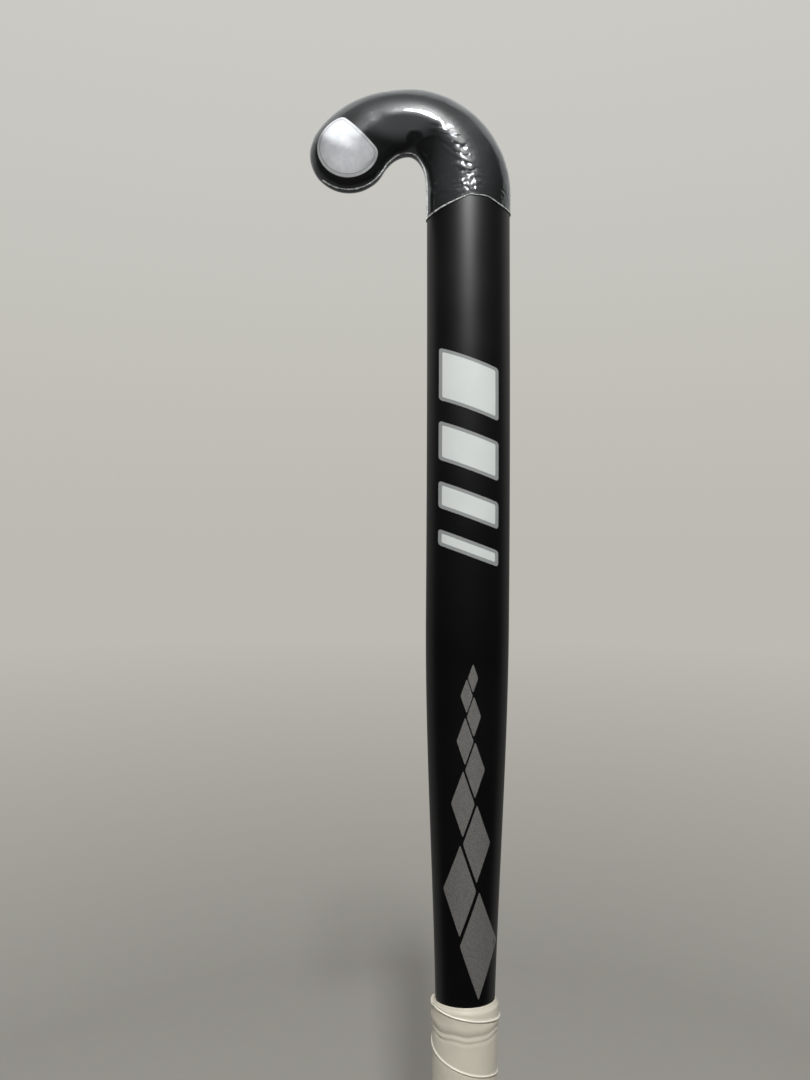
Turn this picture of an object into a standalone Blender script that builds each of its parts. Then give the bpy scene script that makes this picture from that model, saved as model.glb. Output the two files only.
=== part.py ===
"""Composite field hockey stick with a wound grip and a clear film over its head.

The stick stands on its butt with the head up. Z runs along the shaft, the toe points to -X,
the rounded back faces -Y and the flat playing face +Y. The origin is the middle of the butt.
Everything is in metres.
"""

import math
from dataclasses import dataclass
from itertools import pairwise

import bmesh
import bpy
import numpy as np
from mathutils import Vector

# Overall length, butt to the top of the head
STICK_LENGTH = 0.927
# Gap that touching pieces keep
CLEARANCE = 0.0003

# Shaft: a D section, flat on the playing side, that widens a little towards the heel
SHAFT_WIDTH = 0.0478
HEEL_WIDTH = 0.0494
SHAFT_THICKNESS = 0.0225
SHAFT_EDGE_WIDTH = 0.0062
SHAFT_EDGE_DEPTH = 0.0056

# Handle: nearly oval, with a narrow flat left on the playing side
HANDLE_WIDTH = 0.0329
HANDLE_THICKNESS = 0.0280
HANDLE_EDGE_WIDTH = 0.0120
HANDLE_EDGE_DEPTH = 0.0125
HANDLE_LENGTH = 0.352
TAPER_LENGTH = 0.260

# Bow: how far the face leaves the straight line from butt to head, and where
BOW_DEPTH = 0.024
BOW_FROM_TOP = 0.300
FLAT_FACE_LENGTH = 0.150
STRAIGHT_HANDLE_LENGTH = 0.150

# Head: the centre line turns through the heel to the top of the arch, then down to the toe
HEEL_REACH = 0.036
HEEL_RISE = 0.0435
HEEL_FULLNESS = 0.95
ARCH_WIDTH = 0.0402
ARCH_RADIUS = 0.0412
ARCH_SWEEP = math.radians(59)
TOE_WIDTH = 0.0462
TOE_THICKNESS = 0.0205

# Laminate, the two moulded cells and the cores inside
LAMINATE_WALL = 0.0022
CELL_WALL = 0.0013
HEAD_CORE_DEPTH = 0.127
BUTT_PLUG_LENGTH = 0.053

# Butt cap
CAP_FLANGE = 0.0040
CAP_ROUNDING = 0.0016
SPIGOT_LENGTH = 0.018
SPIGOT_BARB = 0.0008
SPIGOT_BARBS = 4

# Grip tape: skived edges, each new turn lapped over the turn below it
GRIP_TOP = 0.393
GRIP_THICKNESS = 0.0017
GRIP_EDGE_THICKNESS = 0.0007
GRIP_PITCH = 0.0325
GRIP_LAP = 0.0025
GRIP_RAMP = 0.0010
GRIP_START_STEP = 15

# Strip that holds the cut end of the grip tape
FINISH_THICKNESS = 0.0003
FINISH_ON_GRIP = 0.0040
FINISH_ON_SHAFT = 0.0016

# Shrink film over the head
FILM_THICKNESS = 0.0003
FILM_LENGTH = 0.0774
FILM_SLANT = 0.11

# Facets
SHAFT_STATIONS = 20
HEEL_STATIONS = 8
ARCH_STATIONS = 5
TOE_STEPS = 8
CORNER_STEPS = 3
BACK_STEPS = 6

# Places that follow from the sizes above
ARCH_TOP = STICK_LENGTH - ARCH_WIDTH / 2
HEEL_START = ARCH_TOP - HEEL_RISE
FACE_FLAT_FROM = STICK_LENGTH - FLAT_FACE_LENGTH
BOW_DEEPEST = STICK_LENGTH - BOW_FROM_TOP
CELLS_TOP = STICK_LENGTH - HEAD_CORE_DEPTH
SPIGOT_TOP = CAP_FLANGE + SPIGOT_LENGTH
PLUG_BOTTOM = SPIGOT_TOP + CLEARANCE
PLUG_TOP = PLUG_BOTTOM + BUTT_PLUG_LENGTH
CELLS_BOTTOM = PLUG_TOP + CLEARANCE
LAMINATE_BOTTOM = CAP_FLANGE + CLEARANCE
CORE_INSET = LAMINATE_WALL + CLEARANCE
CELL_FOAM_INSET = CORE_INSET + CELL_WALL + CLEARANCE


@dataclass(frozen=True)
class Section:
    """Sizes of the cross-section at one place along the stick."""

    width: float
    thickness: float
    edge_width: float
    edge_depth: float


@dataclass(frozen=True)
class Station:
    """A place on the centre line: where it is, how far it has turned, and its section."""

    x: float
    z: float
    heading: float
    section: Section


def smooth(share):
    """Ease from 0 to 1 with level ends."""
    share = min(max(share, 0.0), 1.0)
    return share * share * (3 - 2 * share)


def blend(start, end, share):
    return start + (end - start) * share


def bow(z):
    """How far the playing face stands off the straight line from butt to head, negative to the back."""
    head_slope = BOW_DEPTH / (STICK_LENGTH - (BOW_DEEPEST + FACE_FLAT_FROM) / 2)
    butt_slope = BOW_DEPTH / ((BOW_DEEPEST + STRAIGHT_HANDLE_LENGTH) / 2)
    head_curve = FACE_FLAT_FROM - BOW_DEEPEST
    butt_curve = BOW_DEEPEST - STRAIGHT_HANDLE_LENGTH
    if z >= FACE_FLAT_FROM:
        return head_slope * (z - FACE_FLAT_FROM + head_curve / 2) - BOW_DEPTH
    if z >= BOW_DEEPEST:
        return head_slope * (z - BOW_DEEPEST) ** 2 / (2 * head_curve) - BOW_DEPTH
    if z >= STRAIGHT_HANDLE_LENGTH:
        return butt_slope * (BOW_DEEPEST - z) ** 2 / (2 * butt_curve) - BOW_DEPTH
    return butt_slope * (STRAIGHT_HANDLE_LENGTH - z + butt_curve / 2) - BOW_DEPTH


def shaft_section(z):
    """The oval handle widens smoothly into the D of the shaft, which flares gently to the heel."""
    taper_end = HANDLE_LENGTH + TAPER_LENGTH
    share = smooth((z - HANDLE_LENGTH) / TAPER_LENGTH)
    flare = max(z - taper_end, 0.0) / (HEEL_START - taper_end)
    return Section(
        blend(HANDLE_WIDTH, SHAFT_WIDTH, share) + (HEEL_WIDTH - SHAFT_WIDTH) * flare * flare,
        blend(HANDLE_THICKNESS, SHAFT_THICKNESS, share),
        blend(HANDLE_EDGE_WIDTH, SHAFT_EDGE_WIDTH, share),
        blend(HANDLE_EDGE_DEPTH, SHAFT_EDGE_DEPTH, share),
    )


SHAFT_HEIGHTS = np.linspace(0.0, HEEL_START, SHAFT_STATIONS + 1)
SHAFT_SECTIONS = [shaft_section(z) for z in SHAFT_HEIGHTS]
# The head is flat, so two heights above the heel's start are enough for the bow there.
BOW_HEIGHTS = np.append(SHAFT_HEIGHTS, STICK_LENGTH)
BOW_OFFSETS = [bow(z) for z in BOW_HEIGHTS]


def shaft_station(z):
    """A station on the straight shaft, on the facets that all nested pieces share."""

    def between(name):
        return float(np.interp(z, SHAFT_HEIGHTS, [getattr(s, name) for s in SHAFT_SECTIONS]))

    names = ("width", "thickness", "edge_width", "edge_depth")
    return Station(0.0, float(z), 0.0, Section(*[between(name) for name in names]))


def shaft_stations(bottom, top):
    """Stations from bottom to top of a piece of the shaft."""
    inner = [z for z in SHAFT_HEIGHTS if bottom + CLEARANCE < z < top - CLEARANCE]
    return [shaft_station(z) for z in [bottom, *inner, top]]


def head_section(width, share):
    """Section of the head, share of the way from the heel's start to the toe."""
    thickness = blend(SHAFT_THICKNESS, TOE_THICKNESS, smooth(share))
    return Section(width, thickness, SHAFT_EDGE_WIDTH, SHAFT_EDGE_DEPTH)


def head_stations():
    """The heel is a quarter of an ellipse and the arch an arc of a circle."""
    stations = []
    for step in range(1, HEEL_STATIONS + 1):
        share = step / HEEL_STATIONS
        turn = share * math.pi / 2
        heading = math.atan2(HEEL_REACH * math.sin(turn), HEEL_RISE * math.cos(turn))
        width = blend(HEEL_WIDTH, ARCH_WIDTH, smooth(share**HEEL_FULLNESS))
        x = -HEEL_REACH * (1 - math.cos(turn))
        z = HEEL_START + HEEL_RISE * math.sin(turn)
        stations.append(Station(x, z, heading, head_section(width, share / 2)))
    for step in range(1, ARCH_STATIONS + 1):
        share = step / ARCH_STATIONS
        turn = share * ARCH_SWEEP
        width = blend(ARCH_WIDTH, TOE_WIDTH, smooth(share))
        x = -HEEL_REACH - ARCH_RADIUS * math.sin(turn)
        z = ARCH_TOP - ARCH_RADIUS * (1 - math.cos(turn))
        heading = math.pi / 2 + turn
        stations.append(Station(x, z, heading, head_section(width, (1 + share) / 2)))
    return stations


def half_section(section, inset, middle=0.0):
    """Points (across, depth) from the face round one side to the back, inset from the outside.

    Depth counts from the playing face. The points start and end at middle, measured across.
    """
    half = section.width / 2 - inset
    flat = section.width / 2 - section.edge_width
    corner = max(section.edge_width - inset, CLEARANCE)
    flat = min(flat, half - corner)
    edge = max(section.edge_depth, inset + CLEARANCE)
    back = section.thickness - inset - edge
    last = math.acos(middle / half)
    points = [(middle, inset), (flat, inset)]
    for step in range(1, CORNER_STEPS + 1):
        turn = step / CORNER_STEPS * math.pi / 2
        across = flat + (half - flat) * math.sin(turn)
        points.append((across, edge - (edge - inset) * math.cos(turn)))
    for step in range(1, BACK_STEPS + 1):
        turn = step / BACK_STEPS * last
        points.append((half * math.cos(turn), edge + back * math.sin(turn)))
    return points


def place(station, across, depth, slant=0.0):
    """A point of a section in space. Slant lowers the toe side of a ring."""
    x = station.x + across * math.cos(station.heading)
    z = station.z + across * (math.sin(station.heading) + slant)
    face = HANDLE_THICKNESS / 2 + float(np.interp(z, BOW_HEIGHTS, BOW_OFFSETS))
    return Vector((x, face - depth, z))


def outline(section, inset):
    """The whole section as a loop, clockwise seen from the head, from the middle of the face."""
    side = half_section(section, inset)
    return side + [(-across, depth) for across, depth in reversed(side[1:-1])]


def ring(station, inset, slant=0.0):
    return [place(station, *point, slant) for point in outline(station.section, inset)]


def cell_ring(station, inset, middle, side):
    """One half of the section, closed by the straight bridge wall. Side is 1 at the heel, -1 at the toe."""
    half = half_section(station.section, inset, middle)
    return [place(station, side * across, depth) for across, depth in half]


def loft(mesh, rings, close_start=False, close_end=False):
    """Quads between neighbouring rings. Returns the rows of vertices."""
    rows = [[mesh.verts.new(point) for point in points] for points in rings]
    for lower, upper in pairwise(rows):
        for i, j in pairwise([*range(len(lower)), 0]):
            mesh.faces.new((lower[i], lower[j], upper[j], upper[i]))
    if close_start:
        mesh.faces.new(rows[0])
    if close_end:
        mesh.faces.new(rows[-1])
    return rows


def close_toe(mesh, row, station, inset):
    """Turn the half section of the last row about the toe's centre, so the rim's profile runs round it."""
    half = half_section(station.section, inset)
    count = len(half)
    near = row[1 : count - 1]
    far = list(reversed(row[count:]))
    columns = [near]
    for step in range(1, TOE_STEPS):
        turn = step / TOE_STEPS * math.pi
        spoke = Station(station.x, station.z, station.heading + turn, station.section)
        columns.append([mesh.verts.new(place(spoke, *point)) for point in half[1:-1]])
    columns.append(far)
    for left, right in pairwise(columns):
        mesh.faces.new((row[0], left[0], right[0]))
        for (a, b), (c, d) in zip(pairwise(left), pairwise(right)):
            mesh.faces.new((a, b, d, c))
        mesh.faces.new((row[count - 1], right[-1], left[-1]))


def head_skin(mesh, bottom, inset, slant=0.0, close_start=False):
    """The outside of a piece that runs from the shaft round the head and closes at the toe."""
    stations = [*shaft_stations(bottom, HEEL_START), *head_stations()]
    rings = [ring(stations[0], inset, slant), *[ring(s, inset) for s in stations[1:]]]
    rows = loft(mesh, rings, close_start)
    close_toe(mesh, rows[-1], stations[-1], inset)


def material(name, colour, roughness, metallic=0.0, alpha=1.0):
    made = bpy.data.materials.new(name)
    made.use_nodes = True
    shader = made.node_tree.nodes["Principled BSDF"]
    shader.inputs["Base Color"].default_value = (*colour, 1.0)
    shader.inputs["Roughness"].default_value = roughness
    shader.inputs["Metallic"].default_value = metallic
    shader.inputs["Alpha"].default_value = alpha
    made.diffuse_color = (*colour, alpha)
    return made


def add_piece(name, mesh, finish, parent, collection):
    """Make an object of a mesh, with its faces turned outward and its round sides shaded smooth."""
    bmesh.ops.recalc_face_normals(mesh, faces=mesh.faces)
    data = bpy.data.meshes.new(name)
    mesh.to_mesh(data)
    mesh.free()
    data.materials.append(finish)
    data.shade_smooth()
    data.set_sharp_from_angle(angle=math.radians(40))
    piece = bpy.data.objects.new(name, data)
    piece.parent = parent
    collection.objects.link(piece)
    return piece


def thicken_inward(piece, wall):
    """Give an open skin its wall. The skin stays the outside."""
    shell = piece.modifiers.new("wall", "SOLIDIFY")
    shell.thickness = wall
    shell.offset = -1
    shell.use_even_offset = True


def add_outer_laminate(parent, collection):
    """Carbon and glass laminate: shaft, handle and head in one moulding, open at the butt."""
    mesh = bmesh.new()
    head_skin(mesh, LAMINATE_BOTTOM, 0.0)
    finish = material("black_lacquered_laminate", (0.012, 0.012, 0.013), 0.42)
    thicken_inward(add_piece("outer_laminate", mesh, finish, parent, collection), LAMINATE_WALL)


def add_cell(name, side, parent, collection):
    """One of the two moulded tubes that lie back to back and form the bridge down the shaft."""
    mesh = bmesh.new()
    stations = shaft_stations(CELLS_BOTTOM, CELLS_TOP)
    loft(mesh, [cell_ring(s, CORE_INSET, CLEARANCE / 2, side) for s in stations])
    finish = material(name, (0.035, 0.035, 0.04), 0.5)
    thicken_inward(add_piece(name, mesh, finish, parent, collection), CELL_WALL)


def add_cell_foam(name, side, parent, collection):
    """Foam that fills one of the cells."""
    mesh = bmesh.new()
    middle = CLEARANCE / 2 + CELL_WALL + CLEARANCE
    stations = shaft_stations(CELLS_BOTTOM, CELLS_TOP)
    rings = [cell_ring(s, CELL_FOAM_INSET, middle, side) for s in stations]
    loft(mesh, rings, close_start=True, close_end=True)
    finish = material(name, (0.75, 0.66, 0.42), 0.9)
    add_piece(name, mesh, finish, parent, collection)


def add_head_core(parent, collection):
    """Dense foam core of the head."""
    mesh = bmesh.new()
    head_skin(mesh, CELLS_TOP + CLEARANCE, CORE_INSET, close_start=True)
    finish = material("head_core_foam", (0.62, 0.5, 0.3), 0.9)
    add_piece("head_core", mesh, finish, parent, collection)


def add_butt_plug(parent, collection):
    """Foam plug in the handle, under the cells."""
    mesh = bmesh.new()
    rings = [ring(s, CORE_INSET) for s in shaft_stations(PLUG_BOTTOM, PLUG_TOP)]
    loft(mesh, rings, close_start=True, close_end=True)
    finish = material("butt_plug_foam", (0.7, 0.62, 0.45), 0.9)
    add_piece("butt_plug", mesh, finish, parent, collection)


def add_butt_cap(parent, collection):
    """Flange as wide as the grip, with a rounded lower edge, and a barbed spigot in the shaft."""
    grip_outside = -(CLEARANCE + GRIP_THICKNESS)
    rings = []
    for turn in np.linspace(0, math.pi / 2, 4):
        inset = grip_outside + CAP_ROUNDING * (1 - math.sin(turn))
        rings.append(ring(shaft_station(CAP_ROUNDING * (1 - math.cos(turn))), inset))
    rings.append(ring(shaft_station(CAP_FLANGE), grip_outside))
    barb = SPIGOT_LENGTH / SPIGOT_BARBS
    for count in range(SPIGOT_BARBS):
        bottom = CAP_FLANGE + count * barb
        rings.append(ring(shaft_station(bottom), CORE_INSET + SPIGOT_BARB))
        rings.append(ring(shaft_station(bottom + barb / 2), CORE_INSET + SPIGOT_BARB))
        rings.append(ring(shaft_station(bottom + barb / 2), CORE_INSET))
    rings.append(ring(shaft_station(SPIGOT_TOP), CORE_INSET + SPIGOT_BARB))
    mesh = bmesh.new()
    loft(mesh, rings, close_start=True, close_end=True)
    finish = material("butt_cap_nylon", (0.02, 0.02, 0.021), 0.5)
    add_piece("butt_cap", mesh, finish, parent, collection)


def grip_profile(width, lifted, covered):
    """Section of the tape: points (along the shaft, height) from its lower edge, inside then outside.

    The lower edge is lifted where a turn lies below it, and the upper edge is skived thin
    where the next turn covers it.
    """
    skive_end = width - GRIP_LAP - CLEARANCE

    def outside_height(along):
        thinned = (along - skive_end + GRIP_RAMP) / GRIP_RAMP if covered else 0.0
        return blend(GRIP_THICKNESS, GRIP_EDGE_THICKNESS, min(max(thinned, 0.0), 1.0))

    ramp_end = GRIP_LAP + GRIP_RAMP
    breaks = [width, max(skive_end, width / 2), max(skive_end - GRIP_RAMP, width / 3)]
    breaks += [min(ramp_end, width / 4), 0.0]
    outside = [(along, outside_height(along)) for along in breaks]
    if not lifted:
        return [(width * share / 3, 0.0) for share in range(4)] + outside
    lift = GRIP_EDGE_THICKNESS + CLEARANCE
    outside[-1] = (0.0, GRIP_EDGE_THICKNESS + lift)
    return [(0.0, lift), (GRIP_LAP, lift), (ramp_end, 0.0), (width, 0.0)] + outside


def grip_steps():
    """Each step of the winding: the point of the outline it passes, and turns made so far."""
    loop = [Vector(point) for point in outline(SHAFT_SECTIONS[0], 0.0)]
    lengths = [(b - a).length for a, b in pairwise([*loop, loop[0]])]
    shares = np.concatenate([[0.0], np.cumsum(lengths)]) / sum(lengths)
    whole = len(loop)
    start = shares[GRIP_START_STEP]
    step = GRIP_START_STEP
    while True:
        yield step % whole, step // whole + shares[step % whole] - start
        step += 1


def add_grip_tape(parent, collection):
    """A strip wound from the butt to the top, cut level at both ends."""
    narrowest = GRIP_LAP + 2 * GRIP_RAMP
    last_turn = 1 + (GRIP_TOP - LAMINATE_BOTTOM) / GRIP_PITCH

    def lower_edge(turns):
        """Height of the tape's lower edge, which levels off just below the top."""
        return min(LAMINATE_BOTTOM + GRIP_PITCH * max(turns - 1, 0), GRIP_TOP - narrowest)

    rings = []
    for point, turns in grip_steps():
        if turns > last_turn:
            break
        lower = lower_edge(turns)
        covered = turns + 1 <= last_turn
        upper = lower_edge(turns + 1) + GRIP_LAP if covered else GRIP_TOP
        loop = []
        for along, height in grip_profile(upper - lower, turns >= 1, covered):
            station = shaft_station(lower + along)
            corners = outline(station.section, -(CLEARANCE + height))
            loop.append(place(station, *corners[point]))
        rings.append(loop)
    mesh = bmesh.new()
    loft(mesh, rings, close_start=True, close_end=True)
    finish = material("white_grip_tape", (0.62, 0.6, 0.52), 0.62)
    add_piece("grip_tape", mesh, finish, parent, collection)


def add_finishing_strip(parent, collection):
    """Thin strip over the cut end of the grip tape, stepping down on to the shaft."""
    on_grip = -(2 * CLEARANCE + GRIP_THICKNESS)
    on_shaft = -CLEARANCE
    bottom = GRIP_TOP - FINISH_ON_GRIP
    step = GRIP_TOP + CLEARANCE
    top = step + FINISH_THICKNESS + FINISH_ON_SHAFT
    wall = FINISH_THICKNESS
    profile = [(bottom, on_grip), (step, on_grip), (step, on_shaft), (top, on_shaft)]
    profile += [(top, on_shaft - wall), (step + wall, on_shaft - wall)]
    profile += [(step + wall, on_grip - wall), (bottom, on_grip - wall)]
    mesh = bmesh.new()
    loft(mesh, [ring(shaft_station(z), inset) for z, inset in [*profile, profile[0]]])
    bmesh.ops.remove_doubles(mesh, verts=mesh.verts, dist=CLEARANCE / 100)
    finish = material("white_vinyl_strip", (0.66, 0.66, 0.6), 0.35)
    add_piece("finishing_strip", mesh, finish, parent, collection)


def add_head_film(parent, collection):
    """Clear film shrunk over the head, open at its lower edge, which hangs lower on the toe side."""
    mesh = bmesh.new()
    head_skin(mesh, STICK_LENGTH - FILM_LENGTH, -(CLEARANCE + FILM_THICKNESS), FILM_SLANT)
    finish = material("clear_film", (0.9, 0.9, 0.9), 0.08, alpha=0.25)
    thicken_inward(add_piece("head_film", mesh, finish, parent, collection), FILM_THICKNESS)


def main():
    for old in list(bpy.data.objects):
        bpy.data.objects.remove(old, do_unlink=True)
    collection = bpy.data.collections.new("field_hockey_stick")
    bpy.context.scene.collection.children.link(collection)
    stick = bpy.data.objects.new("stick_origin", None)
    stick.empty_display_size = SHAFT_WIDTH
    collection.objects.link(stick)

    add_outer_laminate(stick, collection)
    add_cell("toe_cell_tube", -1, stick, collection)
    add_cell("heel_cell_tube", 1, stick, collection)
    add_cell_foam("toe_cell_foam", -1, stick, collection)
    add_cell_foam("heel_cell_foam", 1, stick, collection)
    add_head_core(stick, collection)
    add_butt_plug(stick, collection)
    add_butt_cap(stick, collection)
    add_grip_tape(stick, collection)
    add_finishing_strip(stick, collection)
    add_head_film(stick, collection)


main()
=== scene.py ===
"""Looks of a composite field hockey stick with a wound grip and a clear film over its head.

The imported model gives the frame. Z runs up the shaft, the toe points to -X, the rounded back
faces -Y and the flat playing face +Y. Everything is in metres.
"""

import logging
import math
from collections.abc import Iterable, Iterator
from dataclasses import dataclass, field
from enum import Enum
from itertools import pairwise

import bmesh
import bpy
import numpy as np
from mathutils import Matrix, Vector, noise
from mathutils.bvhtree import BVHTree


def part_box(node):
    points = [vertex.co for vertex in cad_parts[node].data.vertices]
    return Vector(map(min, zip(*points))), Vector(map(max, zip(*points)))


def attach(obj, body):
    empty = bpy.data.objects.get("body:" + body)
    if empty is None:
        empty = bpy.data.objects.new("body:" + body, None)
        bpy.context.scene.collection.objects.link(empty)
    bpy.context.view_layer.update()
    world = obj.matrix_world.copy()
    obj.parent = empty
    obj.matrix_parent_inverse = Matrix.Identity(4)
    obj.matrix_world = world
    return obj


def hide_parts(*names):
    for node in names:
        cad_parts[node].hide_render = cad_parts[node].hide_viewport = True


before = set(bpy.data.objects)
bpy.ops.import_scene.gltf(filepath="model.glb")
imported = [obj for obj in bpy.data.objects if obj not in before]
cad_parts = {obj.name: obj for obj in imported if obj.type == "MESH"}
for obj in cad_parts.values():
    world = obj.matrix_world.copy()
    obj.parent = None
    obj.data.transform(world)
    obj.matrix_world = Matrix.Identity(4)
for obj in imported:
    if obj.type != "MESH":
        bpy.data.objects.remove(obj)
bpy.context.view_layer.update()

MM = 0.001
ROOT_BODY = "root"
# Gap that touching pieces keep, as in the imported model
CLEARANCE = 0.3 * MM
# Points of each rounded corner of a print, and how near two of its points are when they are one
ROUND_POINTS = 6
SAME_POINT = 0.001 * MM

logger = logging.getLogger("field_hockey_stick")


class Slot(Enum):
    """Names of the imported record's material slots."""

    LAMINATE = "lacquered_laminate"
    CAP = "cap_nylon"
    GRIP = "grip_tape"
    STRIP = "finishing_strip"
    FILM = "clear_film"


def linear(hex_code: str) -> tuple[float, float, float, float]:
    """Turn an sRGB colour into linear light.

    Args:
        hex_code: Six hex digits after a hash sign.

    Returns:
        Red, green, blue and an alpha of 1.
    """
    shares = [int(hex_code[i : i + 2], 16) / 255 for i in (1, 3, 5)]
    lit = [s / 12.92 if s <= 0.04045 else ((s + 0.055) / 1.055) ** 2.4 for s in shares]
    return (*lit, 1.0)


def smooth(share: np.ndarray | float) -> np.ndarray | float:
    """Ease from 0 to 1 with level ends."""
    share = np.clip(share, 0.0, 1.0)
    return share * share * (3 - 2 * share)


def blend(start: float, end: float, share: np.ndarray | float) -> np.ndarray | float:
    """Go from start to end in a straight line."""
    return start + (end - start) * share


def bell(distance: np.ndarray | float, width: float) -> np.ndarray | float:
    """Bell of height 1 that falls to a third at the width given."""
    return np.exp(-((distance / width) ** 2))


def add_node(
    tree: bpy.types.NodeTree, kind: str, inputs: dict | None = None, **settings: object
) -> bpy.types.Node:
    """Add one node with its settings, values and links.

    Args:
        tree: Node tree that gets the node.
        kind: Type name of the node.
        inputs: Input socket, by name or number, to its value or to the socket that feeds it.
        settings: Attributes of the node itself.

    Returns:
        The new node.
    """
    node = tree.nodes.new(kind)
    for name, value in settings.items():
        setattr(node, name, value)
    for key, value in (inputs or {}).items():
        if isinstance(value, bpy.types.NodeSocket):
            tree.links.new(value, node.inputs[key])
        else:
            node.inputs[key].default_value = value
    return node


@dataclass(frozen=True)
class Finish:
    """What all finishes share: a name, and a way to make the material."""

    name: str

    def shade(self, tree: bpy.types.NodeTree) -> bpy.types.NodeSocket:
        """Add the finish's nodes.

        Args:
            tree: Empty node tree of the material.

        Returns:
            Output socket of the finished shader.
        """
        raise NotImplementedError

    def make(self) -> bpy.types.Material:
        """Make the material, or find it if it has been made.

        Returns:
            The material.
        """
        if self.name in bpy.data.materials:
            return bpy.data.materials[self.name]
        made = bpy.data.materials.new(self.name)
        made.use_nodes = True
        made.node_tree.nodes.clear()
        shader = self.shade(made.node_tree)
        add_node(made.node_tree, "ShaderNodeOutputMaterial", {"Surface": shader})
        return made

    @staticmethod
    def place(
        tree: bpy.types.NodeTree, stretch: tuple[float, float, float] = (1, 1, 1)
    ) -> bpy.types.NodeSocket:
        """Give the point on the object in metres.

        Args:
            tree: Node tree of the material.
            stretch: Scale along X, Y and Z that a pattern is seen through.

        Returns:
            Socket with the scaled point.
        """
        here = add_node(tree, "ShaderNodeTexCoord").outputs["Object"]
        return add_node(tree, "ShaderNodeMapping", {"Vector": here, "Scale": stretch}).outputs[0]


@dataclass(frozen=True)
class SatinLacquer(Finish):
    """Polyurethane lacquer, sprayed black over the moulded carbon and glass laminate.

    To the eye: deep black with a broad soft streak of light, since its flatting agent spreads the
    gloss, and the faint orange peel of a sprayed coat.
    """

    name: str = "black_satin_polyurethane_lacquer_sprayed"
    colour: str = "#040405"
    handled_colour: str = "#09090A"
    roughness: float = 0.36
    # How much smoother and rougher than that handling leaves it
    polished: float = 0.03
    scuffed: float = 0.04
    index: float = 1.5
    peel_size: float = 1.6 * MM
    peel_height: float = 0.004 * MM
    smudge_size: float = 45 * MM
    # Values of the noise between which a pattern goes from none to all, here and in other finishes
    smudge_range: tuple[float, float] = (0.3, 0.7)

    def shade(self, tree: bpy.types.NodeTree) -> bpy.types.NodeSocket:
        """Black base, orange peel in the normal and handling marks in the roughness.

        Args:
            tree: Empty node tree of the material.

        Returns:
            Output socket of the finished shader.
        """
        point = self.place(tree)
        peel = add_node(
            tree, "ShaderNodeTexNoise", {"Vector": point, "Scale": 1 / self.peel_size, "Detail": 2.0}
        )
        bump = add_node(
            tree,
            "ShaderNodeBump",
            {"Height": peel.outputs[0], "Distance": self.peel_height, "Strength": 1.0},
        )
        smudge = add_node(
            tree, "ShaderNodeTexNoise", {"Vector": point, "Scale": 1 / self.smudge_size, "Detail": 5.0}
        )
        rough = add_node(
            tree,
            "ShaderNodeMapRange",
            {
                "Value": smudge.outputs[0],
                "From Min": self.smudge_range[0],
                "From Max": self.smudge_range[1],
                "To Min": self.roughness - self.polished,
                "To Max": self.roughness + self.scuffed,
            },
        )
        tone = add_node(
            tree,
            "ShaderNodeMix",
            {
                "Factor": smudge.outputs[0],
                "A": linear(self.colour),
                "B": linear(self.handled_colour),
            },
            data_type="RGBA",
        )
        return add_node(
            tree,
            "ShaderNodeBsdfPrincipled",
            {
                "Base Color": tone.outputs["Result"],
                "Roughness": rough.outputs[0],
                "IOR": self.index,
                "Normal": bump.outputs[0],
            },
        ).outputs[0]


@dataclass(frozen=True)
class ScreenInk(Finish):
    """Ultraviolet-cured ink, screen printed on the lacquer.

    To the eye: an opaque even colour with the fine tooth of the screen and a few pinholes, and a
    softer gloss than the lacquer round it.
    """

    name: str = "white_ink_screen_printed"
    colour: str = "#CCD1CF"
    thin_colour: str = "#BDC3C2"
    roughness: float = 0.45
    index: float = 1.48
    # Screens have about 5 threads to the millimetre; drawn at 0.6 mm so that the tooth shows
    tooth_size: float = 0.6 * MM
    tooth_height: float = 0.01 * MM
    cloud_size: float = 14 * MM

    def shade(self, tree: bpy.types.NodeTree) -> bpy.types.NodeSocket:
        """Cloudy ink cover in the colour, and the tooth in the normal.

        Args:
            tree: Empty node tree of the material.

        Returns:
            Output socket of the finished shader.
        """
        point = self.place(tree)
        cloud = add_node(
            tree, "ShaderNodeTexNoise", {"Vector": point, "Scale": 1 / self.cloud_size, "Detail": 6.0}
        )
        tooth = add_node(
            tree, "ShaderNodeTexNoise", {"Vector": point, "Scale": 1 / self.tooth_size, "Detail": 1.0}
        )
        bump = add_node(
            tree,
            "ShaderNodeBump",
            {"Height": tooth.outputs[0], "Distance": self.tooth_height, "Strength": 1.0},
        )
        tone = add_node(
            tree,
            "ShaderNodeMix",
            {"Factor": cloud.outputs[0], "A": linear(self.colour), "B": linear(self.thin_colour)},
            data_type="RGBA",
        )
        return add_node(
            tree,
            "ShaderNodeBsdfPrincipled",
            {
                "Base Color": tone.outputs["Result"],
                "Roughness": self.roughness,
                "IOR": self.index,
                "Normal": bump.outputs[0],
            },
        ).outputs[0]


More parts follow.
